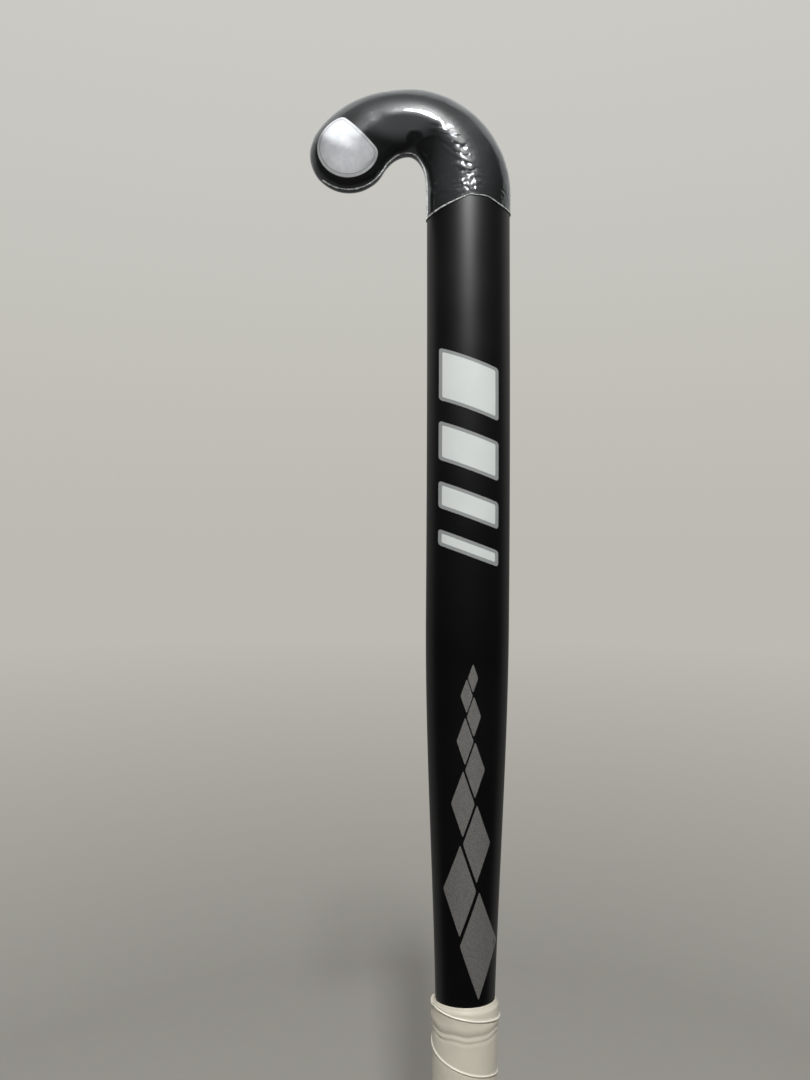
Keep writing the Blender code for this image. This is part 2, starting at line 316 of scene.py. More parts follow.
@dataclass(frozen=True)
class MetallicInk(Finish):
    """Ink with aluminium flake, screen printed on the lacquer.

    To the eye: a grey that gleams softly where it faces the light, with the grain of its flakes.
    """

    name: str = "silver_flake_ink_screen_printed"
    colour: str = "#6E6C6A"
    flake_colour: str = "#8C8A87"
    metallic: float = 0.5
    roughness: float = 0.48
    roughness_spread: float = 0.06
    # Flakes are about 0.03 mm; drawn at 0.35 mm so that the grain shows
    flake_size: float = 0.35 * MM

    def shade(self, tree: bpy.types.NodeTree) -> bpy.types.NodeSocket:
        """Flakes in the colour and in the roughness.

        Args:
            tree: Empty node tree of the material.

        Returns:
            Output socket of the finished shader.
        """
        point = self.place(tree)
        flakes = add_node(tree, "ShaderNodeTexVoronoi", {"Vector": point, "Scale": 1 / self.flake_size})
        glint = add_node(tree, "ShaderNodeSeparateColor", {"Color": flakes.outputs["Color"]})
        tone = add_node(
            tree,
            "ShaderNodeMix",
            {"Factor": glint.outputs[0], "A": linear(self.colour), "B": linear(self.flake_colour)},
            data_type="RGBA",
        )
        rough = add_node(
            tree,
            "ShaderNodeMapRange",
            {
                "Value": glint.outputs[1],
                "To Min": self.roughness - self.roughness_spread,
                "To Max": self.roughness + self.roughness_spread,
            },
        )
        return add_node(
            tree,
            "ShaderNodeBsdfPrincipled",
            {
                "Base Color": tone.outputs["Result"],
                "Metallic": self.metallic,
                "Roughness": rough.outputs[0],
            },
        ).outputs[0]


@dataclass(frozen=True)
class FoilTransfer(Finish):
    """Pearl white foil, heat transferred to the toe.

    To the eye: nearly white with a silvery mottle, from the foil's uneven bond under the film.
    """

    name: str = "pearl_foil_heat_transferred"
    colour: str = "#F5F5F6"
    shade_colour: str = "#E4E6E8"
    roughness: float = 0.6
    specular: float = 0.25
    mottle_size: float = 5 * MM
    mottle_range: tuple[float, float] = (0.35, 0.7)
    mottle_twist: float = 0.8
    wrinkle_size: float = 1.4 * MM
    wrinkle_height: float = 0.05 * MM

    def shade(self, tree: bpy.types.NodeTree) -> bpy.types.NodeSocket:
        """Mottle in the colour and fine wrinkles in the normal.

        Args:
            tree: Empty node tree of the material.

        Returns:
            Output socket of the finished shader.
        """
        point = self.place(tree)
        mottle = add_node(
            tree,
            "ShaderNodeTexNoise",
            {
                "Vector": point,
                "Scale": 1 / self.mottle_size,
                "Detail": 5.0,
                "Distortion": self.mottle_twist,
            },
        )
        wrinkle = add_node(
            tree, "ShaderNodeTexNoise", {"Vector": point, "Scale": 1 / self.wrinkle_size, "Detail": 3.0}
        )
        bump = add_node(
            tree,
            "ShaderNodeBump",
            {"Height": wrinkle.outputs[0], "Distance": self.wrinkle_height, "Strength": 1.0},
        )
        spread = add_node(
            tree,
            "ShaderNodeMapRange",
            {
                "Value": mottle.outputs[0],
                "From Min": self.mottle_range[0],
                "From Max": self.mottle_range[1],
            },
        )
        tone = add_node(
            tree,
            "ShaderNodeMix",
            {"Factor": spread.outputs[0], "A": linear(self.colour), "B": linear(self.shade_colour)},
            data_type="RGBA",
        )
        return add_node(
            tree,
            "ShaderNodeBsdfPrincipled",
            {
                "Base Color": tone.outputs["Result"],
                "Roughness": self.roughness,
                "Specular IOR Level": self.specular,
                "Normal": bump.outputs[0],
            },
        ).outputs[0]


@dataclass(frozen=True)
class ShrinkFilm(Finish):
    """Clear polyolefin film, shrunk over the head with hot air.

    To the eye: the head shows through it. Both its faces reflect like a window, faintly head on
    and strongly at a glancing angle, its creases glint, and where it has shrunk most it is veiled.
    The veil is milky haze, laid thickest where a sheen of light falls, so in part a painted sheen.
    """

    name: str = "clear_polyolefin_film_shrunk"
    colour: str = "#E9EEF3"
    roughness: float = 0.1
    rough_patch: float = 0.24
    # The film's finest crinkles are about 0.1 mm; drawn at 0.8 mm, as rough and smooth spots
    patch_size: float = 0.8 * MM
    patch_range: tuple[float, float] = (0.55, 0.66)
    index: float = 1.5
    faces: float = 2.0
    # Cover of the matt white veil, which is haze and in part a painted sheen
    veil: float = 0.06
    crinkle_size: float = 2.2 * MM
    crinkle_height: float = 0.09 * MM

    def shade(self, tree: bpy.types.NodeTree) -> bpy.types.NodeSocket:
        """A mirror as strong as the film's two faces, and a matt white veil: real haze in part, a painted
        sheen in part.

        Args:
            tree: Empty node tree of the material.

        Returns:
            Output socket of the finished shader.
        """
        point = self.place(tree)
        crinkle = add_node(
            tree, "ShaderNodeTexNoise", {"Vector": point, "Scale": 1 / self.crinkle_size, "Detail": 3.0}
        )
        bump = add_node(
            tree,
            "ShaderNodeBump",
            {"Height": crinkle.outputs[0], "Distance": self.crinkle_height, "Strength": 1.0},
        )
        patches = add_node(
            tree, "ShaderNodeTexNoise", {"Vector": point, "Scale": 1 / self.patch_size, "Detail": 4.0}
        )
        rough = add_node(
            tree,
            "ShaderNodeMapRange",
            {
                "Value": patches.outputs[0],
                "From Min": self.patch_range[0],
                "From Max": self.patch_range[1],
                "To Min": self.roughness,
                "To Max": self.rough_patch,
            },
        )
        turned_back = add_node(
            tree, "ShaderNodeFresnel", {"IOR": self.index, "Normal": bump.outputs[0]}
        )
        mirror = add_node(
            tree, "ShaderNodeMath", {0: turned_back.outputs[0], 1: self.faces}, operation="MULTIPLY"
        )
        # Painted sheen in part: the white veil is laid where a sheen of light falls, besides the film's real
        # haze
        veil_and_sheen_attribute = add_node(tree, "ShaderNodeAttribute", attribute_name="veil")
        cover = add_node(
            tree,
            "ShaderNodeMath",
            {0: veil_and_sheen_attribute.outputs["Fac"], 1: self.veil, 2: mirror.outputs[0]},
            operation="MULTIPLY_ADD",
        )
        mirror_share = add_node(
            tree, "ShaderNodeMath", {0: mirror.outputs[0], 1: cover.outputs[0]}, operation="DIVIDE"
        )
        return add_node(
            tree,
            "ShaderNodeBsdfPrincipled",
            {
                "Base Color": linear(self.colour),
                "Metallic": mirror_share.outputs[0],
                "Roughness": rough.outputs[0],
                "Alpha": cover.outputs[0],
                "Normal": bump.outputs[0],
            },
        ).outputs[0]


@dataclass(frozen=True)
class SealedFilmEdge(Finish):
    """The same film where it is doubled, cut or heat sealed.

    To the eye: a milky line, since many small faces of the melted edge scatter the light.
    """

    name: str = "clear_polyolefin_film_heat_sealed"
    colour: str = "#DFE2E1"
    roughness: float = 0.3
    cover: float = 0.8
    least_cover: float = 0.2
    nick_size: float = 1.3 * MM
    nick_range: tuple[float, float] = (0.35, 0.65)

    def shade(self, tree: bpy.types.NodeTree) -> bpy.types.NodeSocket:
        """Milky and half clear, in nicks along the seal.

        Args:
            tree: Empty node tree of the material.

        Returns:
            Output socket of the finished shader.
        """
        nicks = add_node(
            tree,
            "ShaderNodeTexNoise",
            {"Vector": self.place(tree), "Scale": 1 / self.nick_size, "Detail": 2.0},
        )
        cover = add_node(
            tree,
            "ShaderNodeMapRange",
            {
                "Value": nicks.outputs[0],
                "From Min": self.nick_range[0],
                "From Max": self.nick_range[1],
                "To Min": self.least_cover,
                "To Max": self.cover,
            },
        )
        return add_node(
            tree,
            "ShaderNodeBsdfPrincipled",
            {
                "Base Color": linear(self.colour),
                "Roughness": self.roughness,
                "Alpha": cover.outputs[0],
            },
        ).outputs[0]


@dataclass(frozen=True)
class PolyurethaneTape(Finish):
    """Cushioned polyurethane grip tape, cream white, with a coagulated skin.

    To the eye: soft and matt with a dull sheen, a fine leathery grain, and a little grey where
    hands and dust have touched it. The bead of each lapped edge is coloured paler, a painted highlight.
    """

    name: str = "cream_polyurethane_tape_coagulated"
    colour: str = "#C8C3B3"
    worn_colour: str = "#BAB4A5"
    highlight_colour: str = "#F6F2E4"
    roughness: float = 0.46
    index: float = 1.5
    sheen: float = 0.1
    grain_size: float = 0.7 * MM
    grain_height: float = 0.02 * MM
    cloud_size: float = 22 * MM
    cloud_range: tuple[float, float] = (0.35, 0.75)

    def shade(self, tree: bpy.types.NodeTree) -> bpy.types.NodeSocket:
        """Grain in the normal, clouds of wear in the colour, and a painted highlight on each edge's bead.

        Args:
            tree: Empty node tree of the material.

        Returns:
            Output socket of the finished shader.
        """
        point = self.place(tree)
        cloud = add_node(
            tree, "ShaderNodeTexNoise", {"Vector": point, "Scale": 1 / self.cloud_size, "Detail": 5.0}
        )
        grain = add_node(tree, "ShaderNodeTexVoronoi", {"Vector": point, "Scale": 1 / self.grain_size})
        bump = add_node(
            tree,
            "ShaderNodeBump",
            {"Height": grain.outputs["Distance"], "Distance": self.grain_height, "Strength": 1.0},
        )
        spread = add_node(
            tree,
            "ShaderNodeMapRange",
            {
                "Value": cloud.outputs[0],
                "From Min": self.cloud_range[0],
                "From Max": self.cloud_range[1],
            },
        )
        tone = add_node(
            tree,
            "ShaderNodeMix",
            {"Factor": spread.outputs[0], "A": linear(self.colour), "B": linear(self.worn_colour)},
            data_type="RGBA",
        )
        # Painted highlight: the colour turns paler on the bead of each lapped edge
        edge = add_node(tree, "ShaderNodeAttribute", attribute_name="pressed_edge")
        highlighted_tone = add_node(
            tree,
            "ShaderNodeMix",
            {"Factor": edge.outputs["Fac"], "A": tone.outputs["Result"], "B": linear(self.highlight_colour)},
            data_type="RGBA",
        )
        return add_node(
            tree,
            "ShaderNodeBsdfPrincipled",
            {
                "Base Color": highlighted_tone.outputs["Result"],
                "Roughness": self.roughness,
                "IOR": self.index,
                "Sheen Weight": self.sheen,
                "Normal": bump.outputs[0],
            },
        ).outputs[0]


@dataclass(frozen=True)
class VinylStrip(Finish):
    """Calendered vinyl strip, cream white, stretched round the end of the grip.

    To the eye: smoother and glossier than the tape, with faint lines along its pull.
    """

    name: str = "cream_vinyl_strip_calendered"
    colour: str = "#D8D3C3"
    deep_colour: str = "#CDC8B8"
    roughness: float = 0.34
    index: float = 1.52
    line_size: float = 0.9 * MM
    line_length: float = 14 * MM
    line_height: float = 0.015 * MM

    def shade(self, tree: bpy.types.NodeTree) -> bpy.types.NodeSocket:
        """Level lines in the normal and in the colour.

        Args:
            tree: Empty node tree of the material.

        Returns:
            Output socket of the finished shader.
        """
        point = self.place(tree, (1 / self.line_length, 1 / self.line_length, 1 / self.line_size))
        lines = add_node(tree, "ShaderNodeTexNoise", {"Vector": point, "Scale": 1.0, "Detail": 3.0})
        bump = add_node(
            tree,
            "ShaderNodeBump",
            {"Height": lines.outputs[0], "Distance": self.line_height, "Strength": 1.0},
        )
        tone = add_node(
            tree,
            "ShaderNodeMix",
            {"Factor": lines.outputs[0], "A": linear(self.colour), "B": linear(self.deep_colour)},
            data_type="RGBA",
        )
        return add_node(
            tree,
            "ShaderNodeBsdfPrincipled",
            {
                "Base Color": tone.outputs["Result"],
                "Roughness": self.roughness,
                "IOR": self.index,
                "Normal": bump.outputs[0],
            },
        ).outputs[0]


@dataclass(frozen=True)
class MouldedNylon(Finish):
    """Nylon 6, injection moulded black in a spark-eroded mould.

    To the eye: dark grey rather than black, matt, with the fine even grain of the mould.
    """

    name: str = "black_nylon_injection_moulded"
    colour: str = "#151516"
    scuff_colour: str = "#2A2A2B"
    roughness: float = 0.52
    index: float = 1.53
    grain_size: float = 0.45 * MM
    grain_height: float = 0.02 * MM
    scuff_size: float = 9 * MM
    scuff_range: tuple[float, float] = (0.5, 0.8)

    def shade(self, tree: bpy.types.NodeTree) -> bpy.types.NodeSocket:
        """Mould grain in the normal, and pale scuffs.

        Args:
            tree: Empty node tree of the material.

        Returns:
            Output socket of the finished shader.
        """
        point = self.place(tree)
        grain = add_node(
            tree, "ShaderNodeTexNoise", {"Vector": point, "Scale": 1 / self.grain_size, "Detail": 2.0}
        )
        scuff = add_node(
            tree, "ShaderNodeTexNoise", {"Vector": point, "Scale": 1 / self.scuff_size, "Detail": 8.0}
        )
        bump = add_node(
            tree,
            "ShaderNodeBump",
            {"Height": grain.outputs[0], "Distance": self.grain_height, "Strength": 1.0},
        )
        spread = add_node(
            tree,
            "ShaderNodeMapRange",
            {
                "Value": scuff.outputs[0],
                "From Min": self.scuff_range[0],
                "From Max": self.scuff_range[1],
            },
        )
        tone = add_node(
            tree,
            "ShaderNodeMix",
            {"Factor": spread.outputs[0], "A": linear(self.colour), "B": linear(self.scuff_colour)},
            data_type="RGBA",
        )
        return add_node(
            tree,
            "ShaderNodeBsdfPrincipled",
            {
                "Base Color": tone.outputs["Result"],
                "Roughness": self.roughness,
                "IOR": self.index,
                "Normal": bump.outputs[0],
            },
        ).outputs[0]


@dataclass(frozen=True)
class CarbonLaminate(Finish):
    """Carbon fibre and epoxy, moulded bare.
    """

    name: str = "carbon_epoxy_laminate_moulded"
    colour: str = "#141416"
    tow_colour: str = "#2C2D31"
    roughness: float = 0.35
    coat: float = 0.6
    tow_width: float = 2.0 * MM

    def shade(self, tree: bpy.types.NodeTree) -> bpy.types.NodeSocket:
        """Checks of two tones, one tow wide, under clear resin.

        Args:
            tree: Empty node tree of the material.

        Returns:
            Output socket of the finished shader.
        """
        checks = add_node(
            tree,
            "ShaderNodeTexChecker",
            {
                "Vector": self.place(tree),
                "Color1": linear(self.colour),
                "Color2": linear(self.tow_colour),
                "Scale": 1 / self.tow_width,
            },
        )
        return add_node(
            tree,
            "ShaderNodeBsdfPrincipled",
            {
                "Base Color": checks.outputs[0],
                "Roughness": self.roughness,
                "Coat Weight": self.coat,
            },
        ).outputs[0]


@dataclass(frozen=True)
class PolyurethaneFoam(Finish):
    """Rigid polyurethane foam, poured and risen in the mould.

    To the eye: dry and matt, pitted all over with cells.
    """

    name: str = "polyurethane_foam_poured"
    colour: str = "#E1D4AB"
    pit_shade_colour: str = "#B9A878"
    roughness: float = 0.9
    cell_size: float = 0.8 * MM
    cell_depth: float = 0.25 * MM

    def shade(self, tree: bpy.types.NodeTree) -> bpy.types.NodeSocket:
        """Pits in the normal, with painted shade that darkens them towards their bottoms.

        Args:
            tree: Empty node tree of the material.

        Returns:
            Output socket of the finished shader.
        """
        cells = add_node(
            tree, "ShaderNodeTexVoronoi", {"Vector": self.place(tree), "Scale": 1 / self.cell_size}
        )
        bump = add_node(
            tree,
            "ShaderNodeBump",
            {"Height": cells.outputs["Distance"], "Distance": self.cell_depth, "Strength": 1.0},
        )
        # Painted shade: the colour darkens towards the bottom of each pit
        tone = add_node(
            tree,
            "ShaderNodeMix",
            {
                "Factor": cells.outputs["Distance"],
                "A": linear(self.pit_shade_colour),
                "B": linear(self.colour),
            },
            data_type="RGBA",
        )
        return add_node(
            tree,
            "ShaderNodeBsdfPrincipled",
            {
                "Base Color": tone.outputs["Result"],
                "Roughness": self.roughness,
                "Normal": bump.outputs[0],
            },
        ).outputs[0]


@dataclass(frozen=True)
class StudioFloor(Finish):
    """Matt painted studio floor that fades into the pale background far away."""

    name: str = "pale_floor_painted"
    colour: str = "#A9A7A2"
    far_colour: str = "#BCBAB2"
    fade_full: float = 1.3
    fade_length: float = 1.64
    fade_start: float = 0.48
    speckle_size: float = 25 * MM
    speckle_share: float = 0.02

    def shade(self, tree: bpy.types.NodeTree) -> bpy.types.NodeSocket:
        """Painted near the stick, and as bright as the background far from it.

        Args:
            tree: Empty node tree of the material.

        Returns:
            Output socket of the finished shader.
        """
        here = add_node(tree, "ShaderNodeTexCoord").outputs["Object"]
        distance = add_node(tree, "ShaderNodeVectorMath", {0: here}, operation="LENGTH")
        reach = add_node(
            tree, "ShaderNodeMath", {0: distance.outputs["Value"], 1: self.fade_start}, operation="ADD"
        )
        near = add_node(
            tree, "ShaderNodeMath", {0: self.fade_length, 1: reach.outputs[0]}, operation="DIVIDE"
        )
        share = add_node(
            tree,
            "ShaderNodeMath",
            {0: self.fade_full, 1: near.outputs[0]},
            operation="SUBTRACT",
            use_clamp=True,
        )
        speckle = add_node(
            tree, "ShaderNodeTexNoise", {"Vector": here, "Scale": 1 / self.speckle_size, "Detail": 6.0}
        )
        tone = add_node(
            tree,
            "ShaderNodeMixRGB",
            {"Fac": self.speckle_share, "Color1": linear(self.colour), "Color2": speckle.outputs["Color"]},
        )
        paint = add_node(tree, "ShaderNodeBsdfDiffuse", {"Color": tone.outputs[0]})
        glow = add_node(tree, "ShaderNodeEmission", {"Color": linear(self.far_colour)})
        return add_node(
            tree, "ShaderNodeMixShader", {0: share.outputs[0], 1: paint.outputs[0], 2: glow.outputs[0]}
        ).outputs[0]


@dataclass(frozen=True)
class Section:
    """Sizes of the cross-section at one place along the stick."""

    width: float
    thickness: float
    edge_width: float
    edge_depth: float


@dataclass(frozen=True)
class Station:
    """A place on the centre line: where it is, how far it has turned, and its section."""

    x: float
    z: float
    heading: float
    section: Section


@dataclass(frozen=True)
class RingDetail:
    """How many steps a cross-section has along its flat, each corner and each half of its back."""

    flat: int = 4
    corner: int = 8
    back: int = 20


@dataclass(frozen=True)
class StickForm:
    """The outside of the bare stick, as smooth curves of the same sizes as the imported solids."""

    length: float
    shaft_width: float = 47.8 * MM
    heel_width: float = 49.4 * MM
    shaft_thickness: float = 22.5 * MM
    shaft_edge_width: float = 6.2 * MM
    shaft_edge_depth: float = 5.6 * MM
    handle_width: float = 32.9 * MM
    handle_thickness: float = 28.0 * MM
    handle_edge_width: float = 12.0 * MM
    handle_edge_depth: float = 12.5 * MM
    handle_length: float = 352 * MM
    taper_length: float = 260 * MM
    bow_depth: float = 24 * MM
    bow_from_top: float = 300 * MM
    flat_face_length: float = 150 * MM
    straight_handle_length: float = 150 * MM
    heel_reach: float = 36 * MM
    heel_rise: float = 43.5 * MM
    heel_fullness: float = 0.95
    arch_width: float = 40.2 * MM
    arch_radius: float = 41.2 * MM
    arch_sweep: float = math.radians(59)
    toe_width: float = 46.2 * MM
    toe_thickness: float = 20.5 * MM

    @property
    def heel_start(self) -> float:
        """Height at which the shaft starts to turn."""
        return self.length - self.arch_width / 2 - self.heel_rise

    @property
    def arch_top(self) -> float:
        """Height of the centre line at the top of the arch."""
        return self.length - self.arch_width / 2

    @property
    def toe(self) -> Station:
        """The station that the toe is turned about."""
        return self.head_stations(1, 1)[-1]

    def face_height(self, z: np.ndarray | float) -> np.ndarray:
        """Give y of the playing face, which the bow carries back between butt and head.

        Args:
            z: Height or heights up the stick.

        Returns:
            The face at each height.
        """
        z = np.asarray(z, float)
        flat_from = self.length - self.flat_face_length
        deepest = self.length - self.bow_from_top
        straight = self.straight_handle_length
        head_curve = flat_from - deepest
        butt_curve = deepest - straight
        head_slope = self.bow_depth / (self.length - (deepest + flat_from) / 2)
        butt_slope = self.bow_depth / ((deepest + straight) / 2)
        up = np.clip(z - deepest, 0, head_curve)
        down = np.clip(deepest - z, 0, butt_curve)
        rise = head_slope * (up**2 / (2 * head_curve) + np.maximum(z - flat_from, 0))
        rise += butt_slope * (down**2 / (2 * butt_curve) + np.maximum(straight - z, 0))
        return self.handle_thickness / 2 - self.bow_depth + rise

    def shaft_section(self, z: float) -> Section:
        """Widen the oval handle into the D of the shaft, which flares gently to the heel.

        Args:
            z: Height up the stick.

        Returns:
            Sizes of the section there.
        """
        taper_end = self.handle_length + self.taper_length
        share = float(smooth((z - self.handle_length) / self.taper_length))
        flare = max(z - taper_end, 0.0) / (self.heel_start - taper_end)
        width = blend(self.handle_width, self.shaft_width, share)
        return Section(
            width + (self.heel_width - self.shaft_width) * flare * flare,
            blend(self.handle_thickness, self.shaft_thickness, share),
            blend(self.handle_edge_width, self.shaft_edge_width, share),
            blend(self.handle_edge_depth, self.shaft_edge_depth, share),
        )

    def shaft_station(self, z: float) -> Station:
        """Give the station at a height of the straight shaft."""
        return Station(0.0, z, 0.0, self.shaft_section(z))

    def shaft_stations(self, bottom: float, top: float, step: float) -> list[Station]:
        """Space stations evenly from bottom to top, about a step apart."""
        count = max(round((top - bottom) / step), 1)
        return [self.shaft_station(z) for z in np.linspace(bottom, top, count + 1)]

    def head_stations(self, heel_steps: int, arch_steps: int) -> list[Station]:
        """Turn through the heel, a quarter of an ellipse, and along the arch, an arc of a circle.

        Args:
            heel_steps: Stations round the heel.
            arch_steps: Stations along the arch, the last of which is the toe's.

        Returns:
            Stations past the heel's start.
        """

        def section(width: float, share: float) -> Section:
            """Thin the head from the shaft to the toe."""
            thickness = blend(self.shaft_thickness, self.toe_thickness, float(smooth(share)))
            return Section(width, thickness, self.shaft_edge_width, self.shaft_edge_depth)

        stations = []
        for step in range(1, heel_steps + 1):
            share = step / heel_steps
            turn = share * math.pi / 2
            heading = math.atan2(self.heel_reach * math.sin(turn), self.heel_rise * math.cos(turn))
            width = blend(self.heel_width, self.arch_width, float(smooth(share**self.heel_fullness)))
            x = -self.heel_reach * (1 - math.cos(turn))
            z = self.heel_start + self.heel_rise * math.sin(turn)
            stations.append(Station(x, z, heading, section(width, share / 2)))
        for step in range(1, arch_steps + 1):
            share = step / arch_steps
            turn = share * self.arch_sweep
            width = blend(self.arch_width, self.toe_width, float(smooth(share)))
            x = -self.heel_reach - self.arch_radius * math.sin(turn)
            z = self.arch_top - self.arch_radius * (1 - math.cos(turn))
            stations.append(Station(x, z, math.pi / 2 + turn, section(width, (1 + share) / 2)))
        return stations

    @staticmethod
    def half_section(section: Section, inset: float, detail: RingDetail) -> np.ndarray:
        """Go from the middle of the face round one side to the middle of the back.

        Args:
            section: Sizes of the cross-section.
            inset: How far inside the bare stick, negative outside it.
            detail: Steps along each stretch.

        Returns:
            Rows of (across, depth), with depth counted from the playing face.
        """
        half = section.width / 2 - inset
        corner = max(section.edge_width - inset, CLEARANCE)
        flat = min(section.width / 2 - section.edge_width, half - corner)
        edge = max(section.edge_depth, inset + CLEARANCE)
        back = section.thickness - inset - edge
        face = np.linspace(0, flat, detail.flat + 1)[:-1]
        corner_turn = np.linspace(0, math.pi / 2, detail.corner + 1)[:-1]
        back_turn = np.linspace(0, math.pi / 2, detail.back + 1)
        across = [face, flat + (half - flat) * np.sin(corner_turn), half * np.cos(back_turn)]
        rim = edge - (edge - inset) * np.cos(corner_turn)
        depth = [face * 0 + inset, rim, edge + back * np.sin(back_turn)]
        return np.stack([np.concatenate(across), np.concatenate(depth)], axis=-1)

    def outline(self, section: Section, inset: float, detail: RingDetail) -> np.ndarray:
        """Give the whole section as a loop from the middle of the face, by way of +X, to -X."""
        side = self.half_section(section, inset, detail)
        return np.concatenate([side, side[-2:0:-1] * (-1, 1)])

    def put(self, station: Station, points: np.ndarray) -> np.ndarray:
        """Put rows of (across, depth) into space at a station.

        Args:
            station: Where the section stands.
            points: Rows of (across, depth).

        Returns:
            Rows of (x, y, z).
        """
        across, depth = points[..., 0], points[..., 1]
        x = station.x + across * math.cos(station.heading)
        z = station.z + across * math.sin(station.heading)
        return np.stack([x, self.face_height(z) - depth, z], axis=-1)

    def ring(self, station: Station, inset: float, detail: RingDetail) -> np.ndarray:
        """Give the loop of a station's section in space."""
        return self.put(station, self.outline(station.section, inset, detail))

    def toe_spokes(self, inset: float, detail: RingDetail, steps: int) -> np.ndarray:
        """Turn the half section about the toe's centre.

        Args:
            inset: How far inside the bare stick, negative outside it.
            detail: Steps along each stretch of the section.
            steps: Steps of the half turn.

        Returns:
            Spokes between the last ring's two sides, without the points on the axis.
        """
        toe = self.toe
        half = self.half_section(toe.section, inset, detail)[1:-1]
        turns = np.linspace(0, math.pi, steps + 1)[1:-1]
        return np.array([self.put(Station(toe.x, toe.z, toe.heading + t, toe.section), half) for t in turns])


@dataclass
class MeshDraft:
    """Vertices and faces of one piece while it is being built."""

    points: list[np.ndarray] = field(default_factory=list)
    faces: list[tuple[int, ...]] = field(default_factory=list)
    count: int = 0

    def add_points(self, points: np.ndarray) -> np.ndarray:
        """Add vertices and give their numbers, in the shape that the points came in.

        Args:
            points: Rows of (x, y, z), in an array of any shape.

        Returns:
            Numbers of the vertices.
        """
        numbers = np.arange(self.count, self.count + points[..., 0].size)
        self.points.append(points.reshape(-1, 3))
        self.count += numbers.size
        return numbers.reshape(points.shape[:-1])

    def add_quads(self, numbers: np.ndarray, closed: bool = False) -> None:
        """Span quads over a grid of vertex numbers.

        Args:
            numbers: Rows and columns of vertex numbers.
            closed: Whether the last column joins the first.
        """
        if closed:
            numbers = np.concatenate([numbers, numbers[:, :1]], axis=1)
        corners = [numbers[:-1, :-1], numbers[:-1, 1:], numbers[1:, 1:], numbers[1:, :-1]]
        self.faces += map(tuple, np.stack(corners, axis=-1).reshape(-1, 4).tolist())

    def add_fan(self, pole: int, rim: Iterable[int]) -> None:
        """Span triangles from one vertex to a row of others."""
        self.faces += [(int(pole), int(a), int(b)) for a, b in pairwise(rim)]

    def add_skin(self, rings: np.ndarray, spokes: np.ndarray) -> np.ndarray:
        """Add rings along the stick, and the spokes that close the toe past the last ring.

        Returns:
            Vertex numbers of the first ring.

        Args:
            rings: Loops of points, from the butt to the toe.
            spokes: Half sections turned about the toe.
        """
        rows = self.add_points(rings)
        self.add_quads(rows, closed=True)
        last = rows[-1]
        count = spokes.shape[1] + 2
        start, end = last[None, 1 : count - 1], last[None, : count - 1 : -1]
        columns = np.concatenate([start, self.add_points(spokes), end])
        self.add_quads(columns)
        self.add_fan(last[0], columns[:, 0])
        self.add_fan(last[count - 1], columns[:, -1])
        return rows[0]

    def mesh(self, name: str) -> bpy.types.Mesh:
        """Make the mesh, with its faces turned outward.

        Args:
            name: Name of the mesh.

        Returns:
            The finished mesh.
        """
        made = bpy.data.meshes.new(name)
        made.from_pydata(np.concatenate(self.points).tolist(), [], self.faces)
        shell = bmesh.new()
        shell.from_mesh(made)
        bmesh.ops.recalc_face_normals(shell, faces=shell.faces)
        shell.to_mesh(made)
        shell.free()
        return made


@dataclass
class SubAssembly:
    """A part of the stick that is built on its form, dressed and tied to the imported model."""

    form: StickForm

    def build(self) -> Iterator[bpy.types.Object]:
        """Build and dress each piece.

        Yields:
            Pieces in place.
        """
        raise NotImplementedError

    @staticmethod
    def add(
        mesh: bpy.types.Mesh,
        finish: Finish,
        slot: Slot | None = None,
        stands_for: tuple[str, ...] = (),
        crease: float = 40,
    ) -> bpy.types.Object:
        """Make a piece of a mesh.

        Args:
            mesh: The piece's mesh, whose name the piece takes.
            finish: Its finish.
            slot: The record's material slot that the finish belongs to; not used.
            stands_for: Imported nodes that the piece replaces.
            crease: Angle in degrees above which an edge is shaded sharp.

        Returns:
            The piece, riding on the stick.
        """
        mesh.materials.append(finish.make())
        mesh.shade_smooth()
        mesh.set_sharp_from_angle(angle=math.radians(crease))
        piece = bpy.data.objects.new(mesh.name, mesh)
        bpy.context.scene.collection.objects.link(piece)
        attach(piece, ROOT_BODY)
        if stands_for:
            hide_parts(*stands_for)
        return piece


@dataclass
class OuterLaminate(SubAssembly):
    """Black lacquered moulding of handle, shaft and head, open at the butt."""

    bottom: float = 4.3 * MM
    wall: float = 2.2 * MM
    station_step: float = 4 * MM
    heel_steps: int = 48
    arch_steps: int = 34
    toe_steps: int = 48
    detail: RingDetail = RingDetail(6, 10, 28)
    finish: Finish = SatinLacquer()

    def skin(self, inset: float) -> tuple[np.ndarray, np.ndarray]:
        """Give the rings and the toe's spokes of a skin inside the outside by an inset.

        Args:
            inset: How far inside the outside the skin lies.

        Returns:
            The rings and the spokes.
        """
        form = self.form
        stations = form.shaft_stations(self.bottom, form.heel_start, self.station_step)
        stations += form.head_stations(self.heel_steps, self.arch_steps)
        rings = np.array([form.ring(station, inset, self.detail) for station in stations])
        return rings, form.toe_spokes(inset, self.detail, self.toe_steps)

    def build(self) -> Iterator[bpy.types.Object]:
        """Build the outer and the inner skin, joined at the butt.

        Yields:
            The laminate.
        """
        draft = MeshDraft()
        outside = draft.add_skin(*self.skin(0.0))
        inside = draft.add_skin(*self.skin(self.wall))
        draft.add_quads(np.stack([outside, inside]), closed=True)
        yield self.add(draft.mesh("lacquered_laminate"), self.finish, Slot.LAMINATE, ("outer_laminate",))

    def surface(self) -> BVHTree:
        """Give the outside as a tree that rays can be cast at.

        Returns:
            The tree.
        """
        draft = MeshDraft()
        draft.add_skin(*self.skin(0.0))
        return BVHTree.FromPolygons(np.concatenate(draft.points).tolist(), draft.faces)


